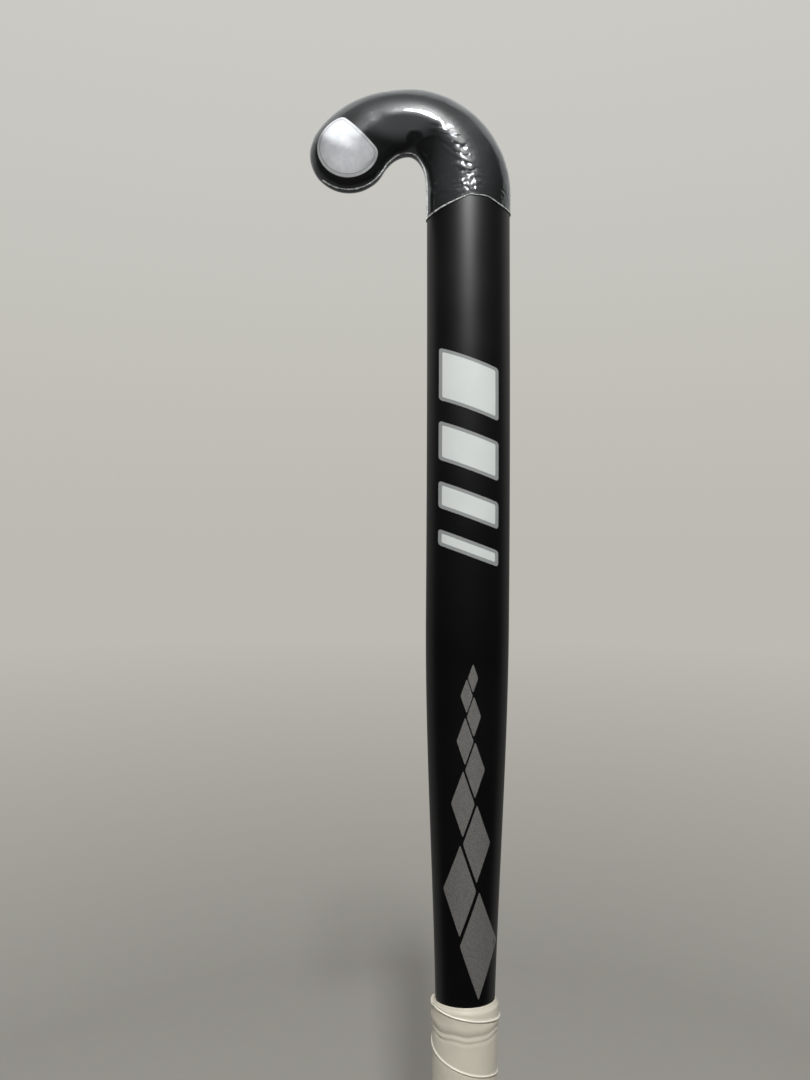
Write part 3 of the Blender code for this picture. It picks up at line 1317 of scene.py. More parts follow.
def offset_corners(corners: list[Vector], distance: float) -> list[Vector]:
    """Move the sides of a polygon outward.

    Args:
        corners: Corners of a convex polygon, counter-clockwise.
        distance: How far, negative to move them inward.

    Returns:
        The new corners.
    """
    moved = []
    for before, here, after in zip(corners[-1:] + corners[:-1], corners, corners[1:] + corners[:1]):
        into, out = (here - before).normalized(), (after - here).normalized()
        side_in, side_out = Vector((into.y, -into.x)), Vector((out.y, -out.x))
        middle = side_in + side_out
        moved.append(here + middle * (distance / (1 + side_in.dot(side_out))))
    return moved


def rounded(corners: list[Vector], radius: float) -> list[Vector]:
    """Round off a polygon's corners.

    Args:
        corners: Corners of the polygon in order.
        radius: How far each round reaches along the two sides.

    Returns:
        Points of the rounded outline.
    """
    points = []
    for before, here, after in zip(corners[-1:] + corners[:-1], corners, corners[1:] + corners[:1]):
        start = here + (before - here).normalized() * radius
        end = here + (after - here).normalized() * radius
        for share in np.linspace(0, 1, ROUND_POINTS):
            points.append(start.lerp(here, share).lerp(here.lerp(end, share), share))
    return points


@dataclass
class SurfacePrint(SubAssembly):
    """Flat outlines in (x, z), laid on the rounded back as thin layers."""

    surface: BVHTree
    layer: float = 0.03 * MM
    grid: float = 1.5 * MM

    def lay(self, name: str, outlines: list[list[Vector]], lift: float) -> bpy.types.Mesh:
        """Cut outlines into a grid, lay them on the back and give them a thickness.

        Args:
            name: Name of the mesh.
            outlines: Outlines in (x, z), seen from the back.
            lift: Height of the layer's outside over the lacquer.

        Returns:
            The mesh of all the outlines.
        """
        sheet = bmesh.new()
        for outline in outlines:
            sheet.faces.new([sheet.verts.new((point.x, 0.0, point.y)) for point in outline])
        bmesh.ops.remove_doubles(sheet, verts=sheet.verts, dist=SAME_POINT)
        corners = np.array([vert.co for vert in sheet.verts])
        for axis in (0, 2):
            normal = Vector([float(axis == i) for i in range(3)])
            low, high = corners[:, axis].min(), corners[:, axis].max()
            for cut in np.arange(low + self.grid / 2, high, self.grid):
                everything = [*sheet.verts, *sheet.edges, *sheet.faces]
                bmesh.ops.bisect_plane(sheet, geom=everything, plane_co=normal * cut, plane_no=normal)
        for vert in sheet.verts:
            start = Vector((vert.co.x, -1.0, vert.co.z))
            place, normal, _, _ = self.surface.ray_cast(start, Vector((0, 1, 0)))
            outward = -normal if normal.y > 0 else normal
            vert.co = place + outward * lift
        bmesh.ops.recalc_face_normals(sheet, faces=sheet.faces)
        if sum(face.normal.y * face.calc_area() for face in sheet.faces) > 0:
            bmesh.ops.reverse_faces(sheet, faces=sheet.faces)
        bmesh.ops.solidify(sheet, geom=sheet.faces[:], thickness=self.layer)
        made = bpy.data.meshes.new(name)
        sheet.to_mesh(made)
        sheet.free()
        return made


@dataclass
class WhiteBlocks(SurfacePrint):
    """Slanted white blocks with a grey border on the upper shaft, each lower than the last."""

    top: float = 766 * MM
    heights: tuple[float, ...] = (30 * MM, 22 * MM, 15 * MM, 9 * MM)
    gap: float = 12 * MM
    half_width: float = 16.8 * MM
    middle: float = -0.8 * MM
    slant: float = math.radians(20)
    border: float = 1.9 * MM
    round: float = 2.0 * MM
    border_lift: float = 0.04 * MM
    ink_lift: float = 0.08 * MM
    border_finish: Finish = ScreenInk("grey_ink_screen_printed", "#8C8F8F", "#7F8383")
    finish: Finish = ScreenInk()

    def blocks(self) -> list[list[Vector]]:
        """Give the outer corners of each block, counter-clockwise seen from the back.

        Returns:
            Four corners of each block.
        """
        fall = self.half_width * math.tan(self.slant)
        left, right = self.middle - self.half_width, self.middle + self.half_width
        upper = self.top - fall
        blocks = []
        for height in self.heights:
            lower = upper - height
            lower_corners = [(left, lower + fall), (right, lower - fall)]
            upper_corners = [(right, upper - fall), (left, upper + fall)]
            blocks.append([Vector(corner) for corner in lower_corners + upper_corners])
            upper = lower - self.gap
        return blocks

    def build(self) -> Iterator[bpy.types.Object]:
        """Print the borders, then the white on them.

        Yields:
            The borders and the white blocks.
        """
        blocks = self.blocks()
        borders = [rounded(block, self.round) for block in blocks]
        yield self.add(self.lay("grey_print_borders", borders, self.border_lift), self.border_finish)
        fills = [rounded(offset_corners(block, -self.border), self.round / 2) for block in blocks]
        yield self.add(self.lay("white_print_blocks", fills, self.ink_lift), self.finish)


@dataclass
class SilverDiamonds(SurfacePrint):
    """A cascade of silver diamonds on the lower shaft, side by side in turn and smaller upward."""

    bottom: float = 402 * MM
    half_height: float = 30 * MM
    half_width: float = 10.6 * MM
    shrink: float = 0.85
    count: int = 9
    spacing: float = 1.1
    middle: float = 0.5 * MM
    round: float = 1.2 * MM
    ink_lift: float = 0.05 * MM
    finish: Finish = MetallicInk()

    def diamonds(self) -> list[list[Vector]]:
        """Give the corners of each diamond, counter-clockwise seen from the back.

        Returns:
            Four corners of each diamond.
        """
        tall, wide = self.half_height, self.half_width
        centre = Vector((self.middle + wide * self.spacing / 2, self.bottom + tall))
        side = -1
        diamonds = []
        for _ in range(self.count):
            corners = [(0, -tall), (wide, 0), (0, tall), (-wide, 0)]
            diamonds.append([centre + Vector(corner) for corner in corners])
            step = Vector((side * wide, tall)) * ((1 + self.shrink) / 2 * self.spacing)
            centre = centre + step
            tall, wide, side = tall * self.shrink, wide * self.shrink, -side
        return diamonds

    def build(self) -> Iterator[bpy.types.Object]:
        """Print the diamonds."""
        outlines = [rounded(diamond, self.round) for diamond in self.diamonds()]
        yield self.add(self.lay("silver_print_diamonds", outlines, self.ink_lift), self.finish)


@dataclass
class ToePanel(SurfacePrint):
    """Plain pearl panel on the toe, round with the toe's rim and cut straight on the heel side."""

    radius: float = 18.2 * MM
    cut_distance: float = 10.8 * MM
    cut_angle: float = math.radians(46)
    corner: float = 2.5 * MM
    arc_steps: int = 56
    # Points of the arc that each rounded end takes the place of
    corner_reach: int = 2
    line_inset: float = 1.4 * MM
    line_width: float = 0.3 * MM
    foil_lift: float = 0.05 * MM
    line_lift: float = 0.08 * MM
    finish: Finish = FoilTransfer()
    line_finish: Finish = ScreenInk("silver_grey_ink_screen_printed", "#AEB2B6", "#9DA1A5")

    def outline(self, inset: float) -> list[Vector]:
        """Give the panel's outline, or one inside it by an inset.

        Args:
            inset: How far inside the panel the outline runs.

        Returns:
            Points of the outline.
        """
        radius, cut_distance = self.radius - inset, self.cut_distance - inset
        toe = self.form.toe
        centre = Vector((toe.x, toe.z))
        half_gap = math.acos(cut_distance / radius)
        start, end = self.cut_angle + half_gap, self.cut_angle + 2 * math.pi - half_gap
        turns = np.linspace(start, end, self.arc_steps)
        points = [centre + Vector((math.cos(turn), math.sin(turn))) * radius for turn in turns]
        near = self.corner_reach
        corners = rounded([points[-near - 2], points[-1], points[0], points[near + 1]], self.corner)
        return points[near:-near] + corners[ROUND_POINTS : 3 * ROUND_POINTS]

    def build(self) -> Iterator[bpy.types.Object]:
        """Lay the foil, and print the thin line inside its edge.

        Yields:
            The panel and its line.
        """
        yield self.add(self.lay("pearl_toe_panel", [self.outline(0.0)], self.foil_lift), self.finish)
        outer, inner = self.outline(self.line_inset), self.outline(self.line_inset + self.line_width)
        pairs = list(zip(outer, inner))
        strips = [[a, b, d, c] for (a, c), (b, d) in pairwise([*pairs, pairs[0]])]
        yield self.add(self.lay("toe_panel_line", strips, self.line_lift), self.line_finish)


@dataclass(frozen=True)
class Fold:
    """A crease that stands off the film, with its course in millimetres of (x, z) on the back."""

    course: tuple[tuple[float, float], ...]
    height: float = 0.4 * MM
    width: float = 0.7 * MM
    smoothings: int = 3

    def rise(self, places: np.ndarray) -> np.ndarray:
        """Give the crease's height at places in (x, z).

        Args:
            places: Rows of (x, z).

        Returns:
            Height at each place.
        """
        line = np.array(self.course) * MM
        for _ in range(self.smoothings):
            # Each smoothing cuts the corners at a quarter and three quarters of every stretch
            nearer, farther = line[:-1] * 0.75 + line[1:] * 0.25, line[:-1] * 0.25 + line[1:] * 0.75
            cut = np.stack([nearer, farther], axis=1).reshape(-1, 2)
            line = np.concatenate([line[:1], cut, line[-1:]])
        nearest = np.full(len(places), np.inf)
        for start, end in pairwise(line):
            along = end - start
            share = np.clip((places - start) @ along / (along @ along), 0, 1)
            gap = places - start - share[:, None] * along
            nearest = np.minimum(nearest, np.linalg.norm(gap, axis=1))
        return self.height * bell(nearest, self.width)


@dataclass(frozen=True)
class Patch:
    """An oval patch of the film on the back, with its middle and reach in millimetres of (x, z)."""

    middle: tuple[float, float]
    reach: tuple[float, float]
    soft: float = 0.5
    height: float = 0.12 * MM
    size: float = 2.2 * MM

    def share(self, places: np.ndarray) -> np.ndarray:
        """Give how far places in (x, z) belong to the patch, from 0 to 1."""
        away = np.linalg.norm((places / MM - self.middle) / self.reach, axis=1)
        return smooth((1 + self.soft - away) / (2 * self.soft))

    def rise(self, places: np.ndarray, points: np.ndarray) -> np.ndarray:
        """Give the height of the patch's bubbles at places in (x, z), which are points in space.

        Args:
            places: Rows of (x, z).
            points: The same places in space.

        Returns:
            Height at each place.
        """
        share = self.share(places)
        bubbles = np.zeros(len(places))
        for number in np.flatnonzero(share > 0):
            bubbles[number] = noise.noise(Vector(points[number] / self.size))
        return self.height * share * bubbles


@dataclass
class HeadFilm(SubAssembly):
    """Clear film over the head, with a slanted and peaked lower edge and a heat-sealed seam."""

    film_length: float = 77.4 * MM
    edge_drop: float = 2.0 * MM
    edge_slant: float = 0.07
    peak_height: float = 7.7 * MM
    peak_reach: float = 23.5 * MM
    shoulder_height: float = 1.7 * MM
    shoulder_place: float = 9.5 * MM
    shoulder_width: float = 5.5 * MM
    lift: float = 0.32 * MM
    mesh_size: float = 0.6 * MM
    heel_length: float = 63 * MM
    detail: RingDetail = RingDetail(18, 10, 44)
    wave_size: float = 8 * MM
    wave_height: float = 0.15 * MM
    # How sharply the folds and the veil, which is haze and painted sheen, fade from the back round to the
    # face
    back_sharpness: float = 3.0
    bead_rows: int = 2
    bead_lift: float = 0.18 * MM
    bead_foot: float = 0.01 * MM
    # Points that the seam stands in from the widest place, toward the back
    seam_turn: int = 7
    seam_height: float = 1.0 * MM
    seam_thickness: float = 0.25 * MM
    seam_tooth: float = 1.4 * MM
    # How far the seam stands out between its teeth, and what the teeth and unevenness add, as shares
    seam_least: float = 0.45
    seam_tooth_share: float = 0.4
    seam_uneven_share: float = 0.3
    seam_uneven_size: float = 4 * MM
    seam_tooth_steepness: float = 2.0
    seam_tooth_fill: float = 0.8
    seam_end_turn: float = math.radians(80)
    seam_toe_length: float = 80 * MM
    folds: tuple[Fold, ...] = (
        Fold(
            ((-46.0, 905.0), (-38.0, 905.5), (-28.0, 903.5), (-18.0, 898.5), (-8.0, 890.0)),
            0.5 * MM,
            4.5 * MM,
        ),
        Fold(((-35.3, 896.0), (-31.5, 895.4), (-27.1, 891.5)), 0.35 * MM, 0.6 * MM),
        Fold(
            ((-41.2, 886.2), (-33.8, 888.8), (-26.5, 891.1), (-20.5, 892.2), (-12.6, 891.6), (-4.4, 887.2)),
            0.5 * MM,
            0.8 * MM,
        ),
        Fold(((-23.0, 895.9), (-14.2, 894.3), (-6.6, 893.0)), 0.45 * MM, 0.7 * MM),
        Fold(((-13.0, 891.6), (-8.4, 889.6), (-4.3, 886.6)), 0.4 * MM, 0.9 * MM),
        Fold(((-17.0, 889.6), (-14.7, 888.7), (-10.7, 886.7)), 0.35 * MM, 0.7 * MM),
        Fold(((-16.5, 885.6), (-14.7, 884.4), (-11.8, 881.5)), 0.3 * MM, 0.7 * MM),
        Fold(((-8.9, 883.9), (-2.9, 880.4)), 0.4 * MM, 0.9 * MM),
        Fold(((-7.5, 879.3), (-0.3, 875.6)), 0.4 * MM, 0.9 * MM),
        Fold(((-8.0, 874.2), (0.3, 871.3)), 0.35 * MM, 0.9 * MM),
        Fold(((-47.0, 887.5), (-52.0, 883.0), (-57.5, 879.5), (-64.0, 875.0)), 0.4 * MM, 0.7 * MM),
        Fold(((-49.5, 883.5), (-55.5, 877.0), (-62.0, 871.5)), 0.35 * MM, 0.7 * MM),
        Fold(((-20.0, 866.5), (-18.2, 864.0), (-19.8, 861.5)), 0.3 * MM, 0.6 * MM),
        Fold(((-16.5, 865.0), (-15.0, 862.0), (-17.0, 859.0)), 0.25 * MM, 0.6 * MM),
    )
    bubbles: tuple[Patch, ...] = (
        Patch((-1.5, 865.5), (9.0, 8.0), 0.5, 0.36 * MM, 1.9 * MM),
        Patch((-5.0, 880.0), (6.5, 9.0), 0.5, 0.28 * MM, 2.0 * MM),
        Patch((-16.0, 862.0), (7.0, 10.0), 0.6, 0.25 * MM, 2.6 * MM),
        Patch((17.0, 858.0), (8.0, 14.0), 0.6, 0.20 * MM, 2.4 * MM),
        Patch((-15.0, 895.0), (14.0, 9.0), 0.6, 0.16 * MM, 3.0 * MM),
        Patch((-52.0, 878.0), (13.0, 10.0), 0.6, 0.22 * MM, 3.2 * MM),
    )
    # Veil over the arch crown and haze below the heel, laid where a sheen of light and the lacquer's streak
    # show: in part painted sheen
    veil: Patch = Patch((-41.0, 902.0), (22.0, 10.5), 0.45)
    clear_patch: Patch = Patch((-32.2, 891.6), (5.2, 4.0), 0.12)
    haze_and_sheen: Patch = Patch((-3.0, 872.0), (17.0, 32.0), 0.7)
    haze_and_sheen_share: float = 0.55
    least_veil: float = 0.15
    finish: Finish = ShrinkFilm()
    seal_finish: Finish = SealedFilmEdge()

    def edge_height(self, x: np.ndarray, back: np.ndarray) -> np.ndarray:
        """Give z of the lower edge at each point round the shaft.

        Args:
            x: Places across the shaft.
            back: Share that each is on the rounded back.

        Returns:
            Height of the edge at each point.
        """
        level = self.form.length - self.film_length - self.edge_drop + self.edge_slant * x
        peak = self.peak_height * np.clip(1 - np.abs(x) / self.peak_reach, 0, 1)
        shoulder = self.shoulder_height * bell(x - self.shoulder_place, self.shoulder_width)
        return level + back * (peak + shoulder)

    def rings(self) -> np.ndarray:
        """Give the rings, the lower of which follow the edge.

        Returns:
            Loops of points, from the edge to the toe.
        """
        form = self.form
        inset = -self.lift
        top = form.heel_start
        start = form.ring(form.shaft_station(top), inset, self.detail)
        widest_y = form.face_height(top) - form.shaft_edge_depth
        edge = self.edge_height(start[:, 0], smooth((widest_y - start[:, 1]) / form.shaft_edge_depth))
        steps = round(float(top - edge.min()) / self.mesh_size)
        shares = np.linspace(0, 1, steps + 1)[:-1]
        columns = []
        for number, low in enumerate(edge):
            heights = blend(float(low), top, shares)
            columns.append([form.ring(form.shaft_station(z), inset, self.detail)[number] for z in heights])
        rows = np.swapaxes(np.array(columns), 0, 1)
        heel_steps = round(self.heel_length / self.mesh_size)
        arch_steps = round(form.arch_radius * form.arch_sweep / self.mesh_size)
        stations = [form.shaft_station(top), *form.head_stations(heel_steps, arch_steps)]
        return np.concatenate([rows, [form.ring(station, inset, self.detail) for station in stations]])

    def crease(self, mesh: bpy.types.Mesh) -> None:
        """Raise the folds and bubbles of a film mesh, and mark its veil: real haze, and a painted sheen
        where light falls.

        Args:
            mesh: The smooth film, which is changed.
        """
        count = len(mesh.vertices)
        points, normals = np.empty(count * 3), np.empty(count * 3)
        mesh.vertices.foreach_get("co", points)
        mesh.vertices.foreach_get("normal", normals)
        points, normals = points.reshape(-1, 3), normals.reshape(-1, 3)
        places = points[:, (0, 2)]
        back = smooth(-normals[:, 1] * self.back_sharpness + 0.5)
        rise = sum(fold.rise(places) for fold in self.folds)
        rise += sum(patch.rise(places, points) for patch in self.bubbles)
        waves = np.array([noise.noise(Vector(point / self.wave_size)) for point in points])
        rise = rise * back + self.wave_height * (1 + waves)
        points += normals * np.maximum(rise, -self.lift / 2)[:, None]
        mesh.vertices.foreach_set("co", points.ravel())
        # Painted sheen in part: the veil is thickest where light falls on the arch and by the heel
        veil = mesh.attributes.new("veil", "FLOAT", "POINT")
        shares = self.veil.share(places) * (1 - self.clear_patch.share(places))
        shares = np.maximum(shares, self.haze_and_sheen.share(places) * self.haze_and_sheen_share)
        shares = np.maximum(shares, self.least_veil) * back
        veil.data.foreach_set("value", shares.astype(np.float32))

    def seam(self) -> bpy.types.Mesh:
        """Build the fin of the seal, with its bitten edge, along the inner side and under the toe.

        Returns:
            Mesh of the fin.
        """
        form = self.form
        half = form.half_section(form.toe.section, -self.lift, self.detail)
        side = self.detail.flat + self.detail.corner + self.seam_turn
        rings = self.rings()
        roots = list(rings[:, -side])
        toe = form.toe
        toe_steps = round(self.seam_toe_length / self.mesh_size)
        for turn in np.linspace(math.pi, self.seam_end_turn, toe_steps)[1:]:
            spoke = Station(toe.x, toe.z, toe.heading + turn, toe.section)
            roots.append(form.put(spoke, half[side]))
        roots = np.array(roots)
        ways = np.gradient(roots, axis=0)
        out = np.stack([-ways[:, 2], ways[:, 0] * 0, ways[:, 0]], axis=-1)
        out /= np.linalg.norm(out, axis=1)[:, None]
        run = np.concatenate([[0.0], np.cumsum(np.linalg.norm(np.diff(roots, axis=0), axis=1))])
        waves = np.sin(run / self.seam_tooth * 2 * math.pi)
        teeth = smooth(waves * self.seam_tooth_steepness + self.seam_tooth_fill)
        uneven = np.array([noise.noise(Vector((at / self.seam_uneven_size, 0.0, 0.0))) for at in run])
        shares = self.seam_least + self.seam_tooth_share * teeth + self.seam_uneven_share * uneven
        height = self.seam_height * shares
        depth = np.array([0.0, self.seam_thickness / 2, 0.0])
        crest = roots + out * height[:, None]
        draft = MeshDraft()
        corners = [roots - depth, crest - depth / 2, crest + depth / 2, roots + depth]
        numbers = draft.add_points(np.stack(corners, axis=1))
        draft.add_quads(numbers, closed=True)
        draft.faces += [tuple(numbers[0].tolist()), tuple(numbers[-1].tolist())]
        return draft.mesh("sealed_film_seam")

    def build(self) -> Iterator[bpy.types.Object]:
        """Build the film, the bead of its cut edge and its seam.

        Yields:
            The film, its edge and its seam.
        """
        toe_steps = round(math.pi * self.form.toe_width / 2 / self.mesh_size)
        draft = MeshDraft()
        rings = self.rings()
        draft.add_skin(rings, self.form.toe_spokes(-self.lift, self.detail, toe_steps))
        film = draft.mesh("shrunk_head_film")
        self.crease(film)
        first = self.bead_rows * rings.shape[1]
        edge = np.array([film.vertices[number].co for number in range(first + rings.shape[1])])
        edge = edge.reshape(self.bead_rows + 1, -1, 3)
        yield self.add(film, self.finish, Slot.FILM, ("head_film",), crease=180)
        outward = edge[0] - edge[0].mean(axis=0)
        outward[:, 2] = 0
        outward /= np.linalg.norm(outward, axis=1)[:, None]
        bead = MeshDraft()
        sunk = edge[0] - outward * self.bead_lift / 2
        raised = (edge[0] + edge[1]) / 2 + outward * self.bead_lift
        foot = edge[-1] + outward * self.bead_foot
        numbers = bead.add_points(np.stack([sunk, raised, foot]))
        bead.add_quads(numbers, closed=True)
        yield self.add(bead.mesh("cut_film_edge"), self.seal_finish, Slot.FILM)
        yield self.add(self.seam(), self.seal_finish, Slot.FILM)


@dataclass(frozen=True)
class Lay:
    """How one step of the winding lies, in distances along the shaft.

    The next turn covers it from a distance above its lower edge, and its creases sway up or down.
    """

    lower: float
    width: float
    cover: float
    lifted: bool
    sway: float


@dataclass
class GripTape(SubAssembly):
    """Cushioned tape wound up the handle, each turn lapped over the one below it."""

    bottom: float = 4.3 * MM
    top: float = 394.9 * MM
    top_rise: float = 2.8 * MM
    top_turn: float = 0.03
    top_sharpness: float = 0.7
    thickness: float = 1.7 * MM
    edge_thickness: float = 0.7 * MM
    rim_thickness: float = 0.3 * MM
    slope: float = 2.6 * MM
    hollow: float = 0.22 * MM
    hollow_place: float = 1.9 * MM
    hollow_width: float = 0.7 * MM
    pitch: float = 32.5 * MM
    lap: float = 2.5 * MM
    ramp: float = 0.9 * MM
    start_share: float = 0.489
    turns: float = 13.332
    level_width: float = 4.5 * MM
    last_edge: float = 395.5 * MM
    least_width: float = 1.4 * MM
    bead: float = 0.65 * MM
    bead_place: float = 0.6 * MM
    bead_width: float = 0.48 * MM
    bead_zone: float = 1.8 * MM
    edge_round: float = 0.35 * MM
    whole_width: float = 6 * MM
    # Largest shares of a narrow turn that the lap, the ramp above it and the slope at the top take
    lap_limit: float = 0.4
    ramp_limit: float = 0.7
    slope_limit: float = 0.6
    # How far down the close points below a covering turn reach, in lengths of the ramp
    ramp_reach: float = 1.3
    # How far below the upper edge of the last turn its outside starts
    lip: float = 0.03 * MM
    crease_sway: float = 0.3 * MM
    # Two waves round the handle that the creases sway with, and the turn between them in radians
    sway_waves: tuple[int, int] = (5, 8)
    sway_turn: float = 1.0
    # Height, place and width of each swelling that the pull of the last turn leaves
    swells: tuple[tuple[float, float, float], ...] = (
        (0.8 * MM, 386.6 * MM, 2.6 * MM),
        (-0.75 * MM, 382.6 * MM, 1.0 * MM),
        (0.35 * MM, 380.9 * MM, 0.8 * MM),
        (-0.55 * MM, 379.2 * MM, 0.9 * MM),
    )
    # Points down the slope, the flat and the bead of the outside; then those round its lower edge
    steps: tuple[int, int, int] = (9, 30, 12)
    round_steps: int = 5
    detail: RingDetail = RingDetail(4, 12, 30)
    finish: Finish = PolyurethaneTape()

    def top_edge(self, share: float) -> float:
        """Give the height of the grip's top, which stands higher on the back than at the sides."""
        backness = max(0.0, math.cos(2 * math.pi * (share + self.top_turn - 0.5)))
        return self.top + self.top_rise * backness**self.top_sharpness

    def lower_edge(self, turns: float, share: float) -> float:
        """Give the height of the lower edge, which levels off softly just below the top.

        Args:
            turns: Turns wound so far.
            share: How far round the handle.

        Returns:
            Height of the edge.
        """
        straight = self.bottom + self.pitch * max(turns - 1, 0)
        over = (self.last_edge - straight) / self.level_width
        level = self.last_edge - self.level_width * float(np.logaddexp(0, over))
        return max(min(level, self.top_edge(share) - self.least_width), self.bottom)

    def lay(self, turns: float, share: float) -> Lay:
        """Give how the tape lies at a number of turns, at a share of the way round.

        Args:
            turns: Turns wound so far.
            share: How far round the handle.

        Returns:
            The lay of the tape there.
        """
        lower = self.lower_edge(turns, share)
        top = self.top_edge(share)
        angle = 2 * math.pi * share
        long_wave, short_wave = self.sway_waves
        waves = math.sin(long_wave * angle) + math.sin(short_wave * angle + self.sway_turn)
        sway = self.crease_sway * waves
        if turns + 1 > self.turns:
            return Lay(lower, top - lower, math.inf, turns >= 1, sway)
        cover = self.lower_edge(turns + 1, share)
        return Lay(lower, min(cover + self.lap, top - self.ramp) - lower, cover - lower, turns >= 1, sway)

    def height(self, place: np.ndarray, lay: Lay) -> np.ndarray:
        """Give the height of the tape's outside, without its bead.

        Args:
            place: Distances up from the lower edge.
            lay: How the tape lies here.

        Returns:
            Height at each distance.
        """
        along = lay.lower + place + lay.sway
        swell = sum(height * bell(along - z, reach) for height, z, reach in self.swells)
        if lay.cover < math.inf:
            fall = smooth((place - lay.cover + CLEARANCE + self.ramp) / self.ramp)
            swell = swell * smooth((lay.cover - place) / self.lap)
            return blend(self.thickness, self.edge_thickness, fall) + swell
        rise = smooth((lay.width - place) / min(self.slope, self.slope_limit * lay.width))
        swell = swell - self.hollow * bell(place - self.hollow_place, self.hollow_width)
        return blend(self.rim_thickness, self.thickness, rise) + swell * rise

    def profile(self, lay: Lay) -> list[tuple[float, float]]:
        """Give the tape's cross-section.

        Args:
            lay: How the tape lies here.

        Returns:
            Points (along the shaft, height) from the lower edge, inside then outside.
        """
        width = lay.width
        lift = self.edge_thickness + CLEARANCE if lay.lifted else 0.0
        lap_end = min(self.lap, self.lap_limit * width)
        ramp_end = min(self.lap + self.ramp, self.ramp_limit * width)
        inside = [(0.0, lift), (lap_end, lift), (ramp_end, 0.0), (width, 0.0)]
        scale = min(width / self.whole_width, 1.0)
        covered = lay.cover < math.inf
        top = lay.cover - CLEARANCE if covered else width - self.lip
        reach = self.ramp_reach * self.ramp if covered else min(self.slope, self.slope_limit * width)
        slope_steps, flat_steps, bead_steps = self.steps
        places = [[width], top - reach * np.linspace(0, 1, slope_steps)]
        places.append(np.linspace(top - reach, self.bead_zone * scale, flat_steps)[1:])
        places.append(np.linspace(self.bead_zone * scale, self.edge_round * scale, bead_steps)[1:])
        along = np.concatenate(places)
        heights = self.height(along, lay)
        if lay.lifted:
            heights = heights + self.bead * bell(along - self.bead_place * scale, self.bead_width * scale)
        outside = list(zip(along.tolist(), heights.tolist()))
        crown = outside[-1][1]
        radius = self.edge_round * scale
        for turn in np.linspace(0, math.pi / 2, self.round_steps)[1:]:
            outside.append((radius * (1 - math.sin(turn)), crown - radius * (1 - math.cos(turn))))
        return inside + outside

    def shares(self) -> np.ndarray:
        """Give how far round the handle each point of its outline lies, from 0 to 1.

        Returns:
            A share for each point.
        """
        base = self.form.outline(self.form.shaft_section(0.0), 0.0, self.detail)
        lengths = np.linalg.norm(np.roll(base, -1, axis=0) - base, axis=1)
        return np.concatenate([[0.0], np.cumsum(lengths)[:-1]]) / lengths.sum()

    def build(self) -> Iterator[bpy.types.Object]:
        """Wind the tape.

        Yields:
            The tape.
        """
        shares = self.shares()
        whole = len(shares)
        step = int(np.searchsorted(shares, self.start_share))
        start = shares[step]
        rows, edges = [], []
        while (turns := step // whole + shares[step % whole] - start) <= self.turns:
            lay = self.lay(turns, shares[step % whole])
            row = []
            for along, height in self.profile(lay):
                station = self.form.shaft_station(lay.lower + along)
                row.append(self.form.ring(station, -(CLEARANCE + height), self.detail)[step % whole])
                # Share of painted highlight on the bead of each lifted edge, which the tape's finish reads
                lit_bead = lay.lifted and height > self.thickness
                edges.append(bell(along - self.bead_place, self.bead_width) if lit_bead else 0.0)
            rows.append(row)
            step += 1
        draft = MeshDraft()
        numbers = draft.add_points(np.array(rows))
        draft.add_quads(numbers, closed=True)
        draft.faces += [tuple(numbers[0].tolist()), tuple(numbers[-1].tolist())]
        tape = draft.mesh("wound_grip_tape")
        tape.attributes.new("pressed_edge", "FLOAT", "POINT").data.foreach_set("value", edges)
        yield self.add(tape, self.finish, Slot.GRIP, ("grip_tape",), crease=60)


@dataclass
class FinishingStrip(SubAssembly):
    """Thin strip stretched over the cut end of the tape and down on to the shaft."""

    grip: GripTape
    thickness: float = 0.12 * MM
    lift: float = 0.06 * MM
    width: float = 7 * MM
    above_edge: float = 1.3 * MM
    on_shaft: float = 0.5 * MM
    tab_share: float = 0.742
    tab_reach: float = 0.014
    tab_height: float = 2.6 * MM
    tab_lift: float = 0.5 * MM
    steps: int = 14
    # Largest share of a narrow turn that stays bare below the strip
    bare_limit: float = 0.55
    # Shares of the strip's upper edge, past the tape, at which it comes down on to the shaft
    fall: tuple[float, ...] = (0.3, 0.6, 1.0)
    finish: Finish = VinylStrip()

    def course(self, share: float) -> list[tuple[float, float]]:
        """Give (height up the shaft, distance from it) of the strip's inside, from below.

        Args:
            share: How far round the handle.

        Returns:
            Points from the lower edge to the upper.
        """
        grip = self.grip
        turns = math.floor(grip.turns - share + grip.start_share) + share - grip.start_share
        lay = grip.lay(turns, share)
        top = lay.lower + lay.width
        start = max(lay.lower + min(self.above_edge, self.bare_limit * lay.width), top - self.width)
        tab = bell(share - self.tab_share, self.tab_reach)
        course = []
        for z in np.linspace(start, top, self.steps):
            height = grip.height(z - lay.lower, lay)
            course.append((float(z), CLEARANCE + float(height) + self.lift))
        end = top + self.on_shaft + tab * self.tab_height
        for part in self.fall:
            away = blend(course[self.steps - 1][1], self.lift + tab * self.tab_lift, math.sqrt(part))
            course.append((blend(top, end, part), float(away)))
        return course

    def build(self) -> Iterator[bpy.types.Object]:
        """Loft the strip's inside and outside.

        Yields:
            The strip.
        """
        columns = []
        for number, share in enumerate(self.grip.shares()):
            inside = self.course(share)
            column = []
            for extra, points in ((0.0, inside), (self.thickness, inside[::-1])):
                for z, away in points:
                    station = self.form.shaft_station(z)
                    column.append(self.form.ring(station, -(away + extra), self.grip.detail)[number])
            columns.append(column)
        draft = MeshDraft()
        numbers = draft.add_points(np.array(columns))
        numbers = np.concatenate([numbers, numbers[:1]])
        draft.add_quads(numbers, closed=True)
        yield self.add(draft.mesh("stretched_strip"), self.finish, Slot.STRIP, ("finishing_strip",))


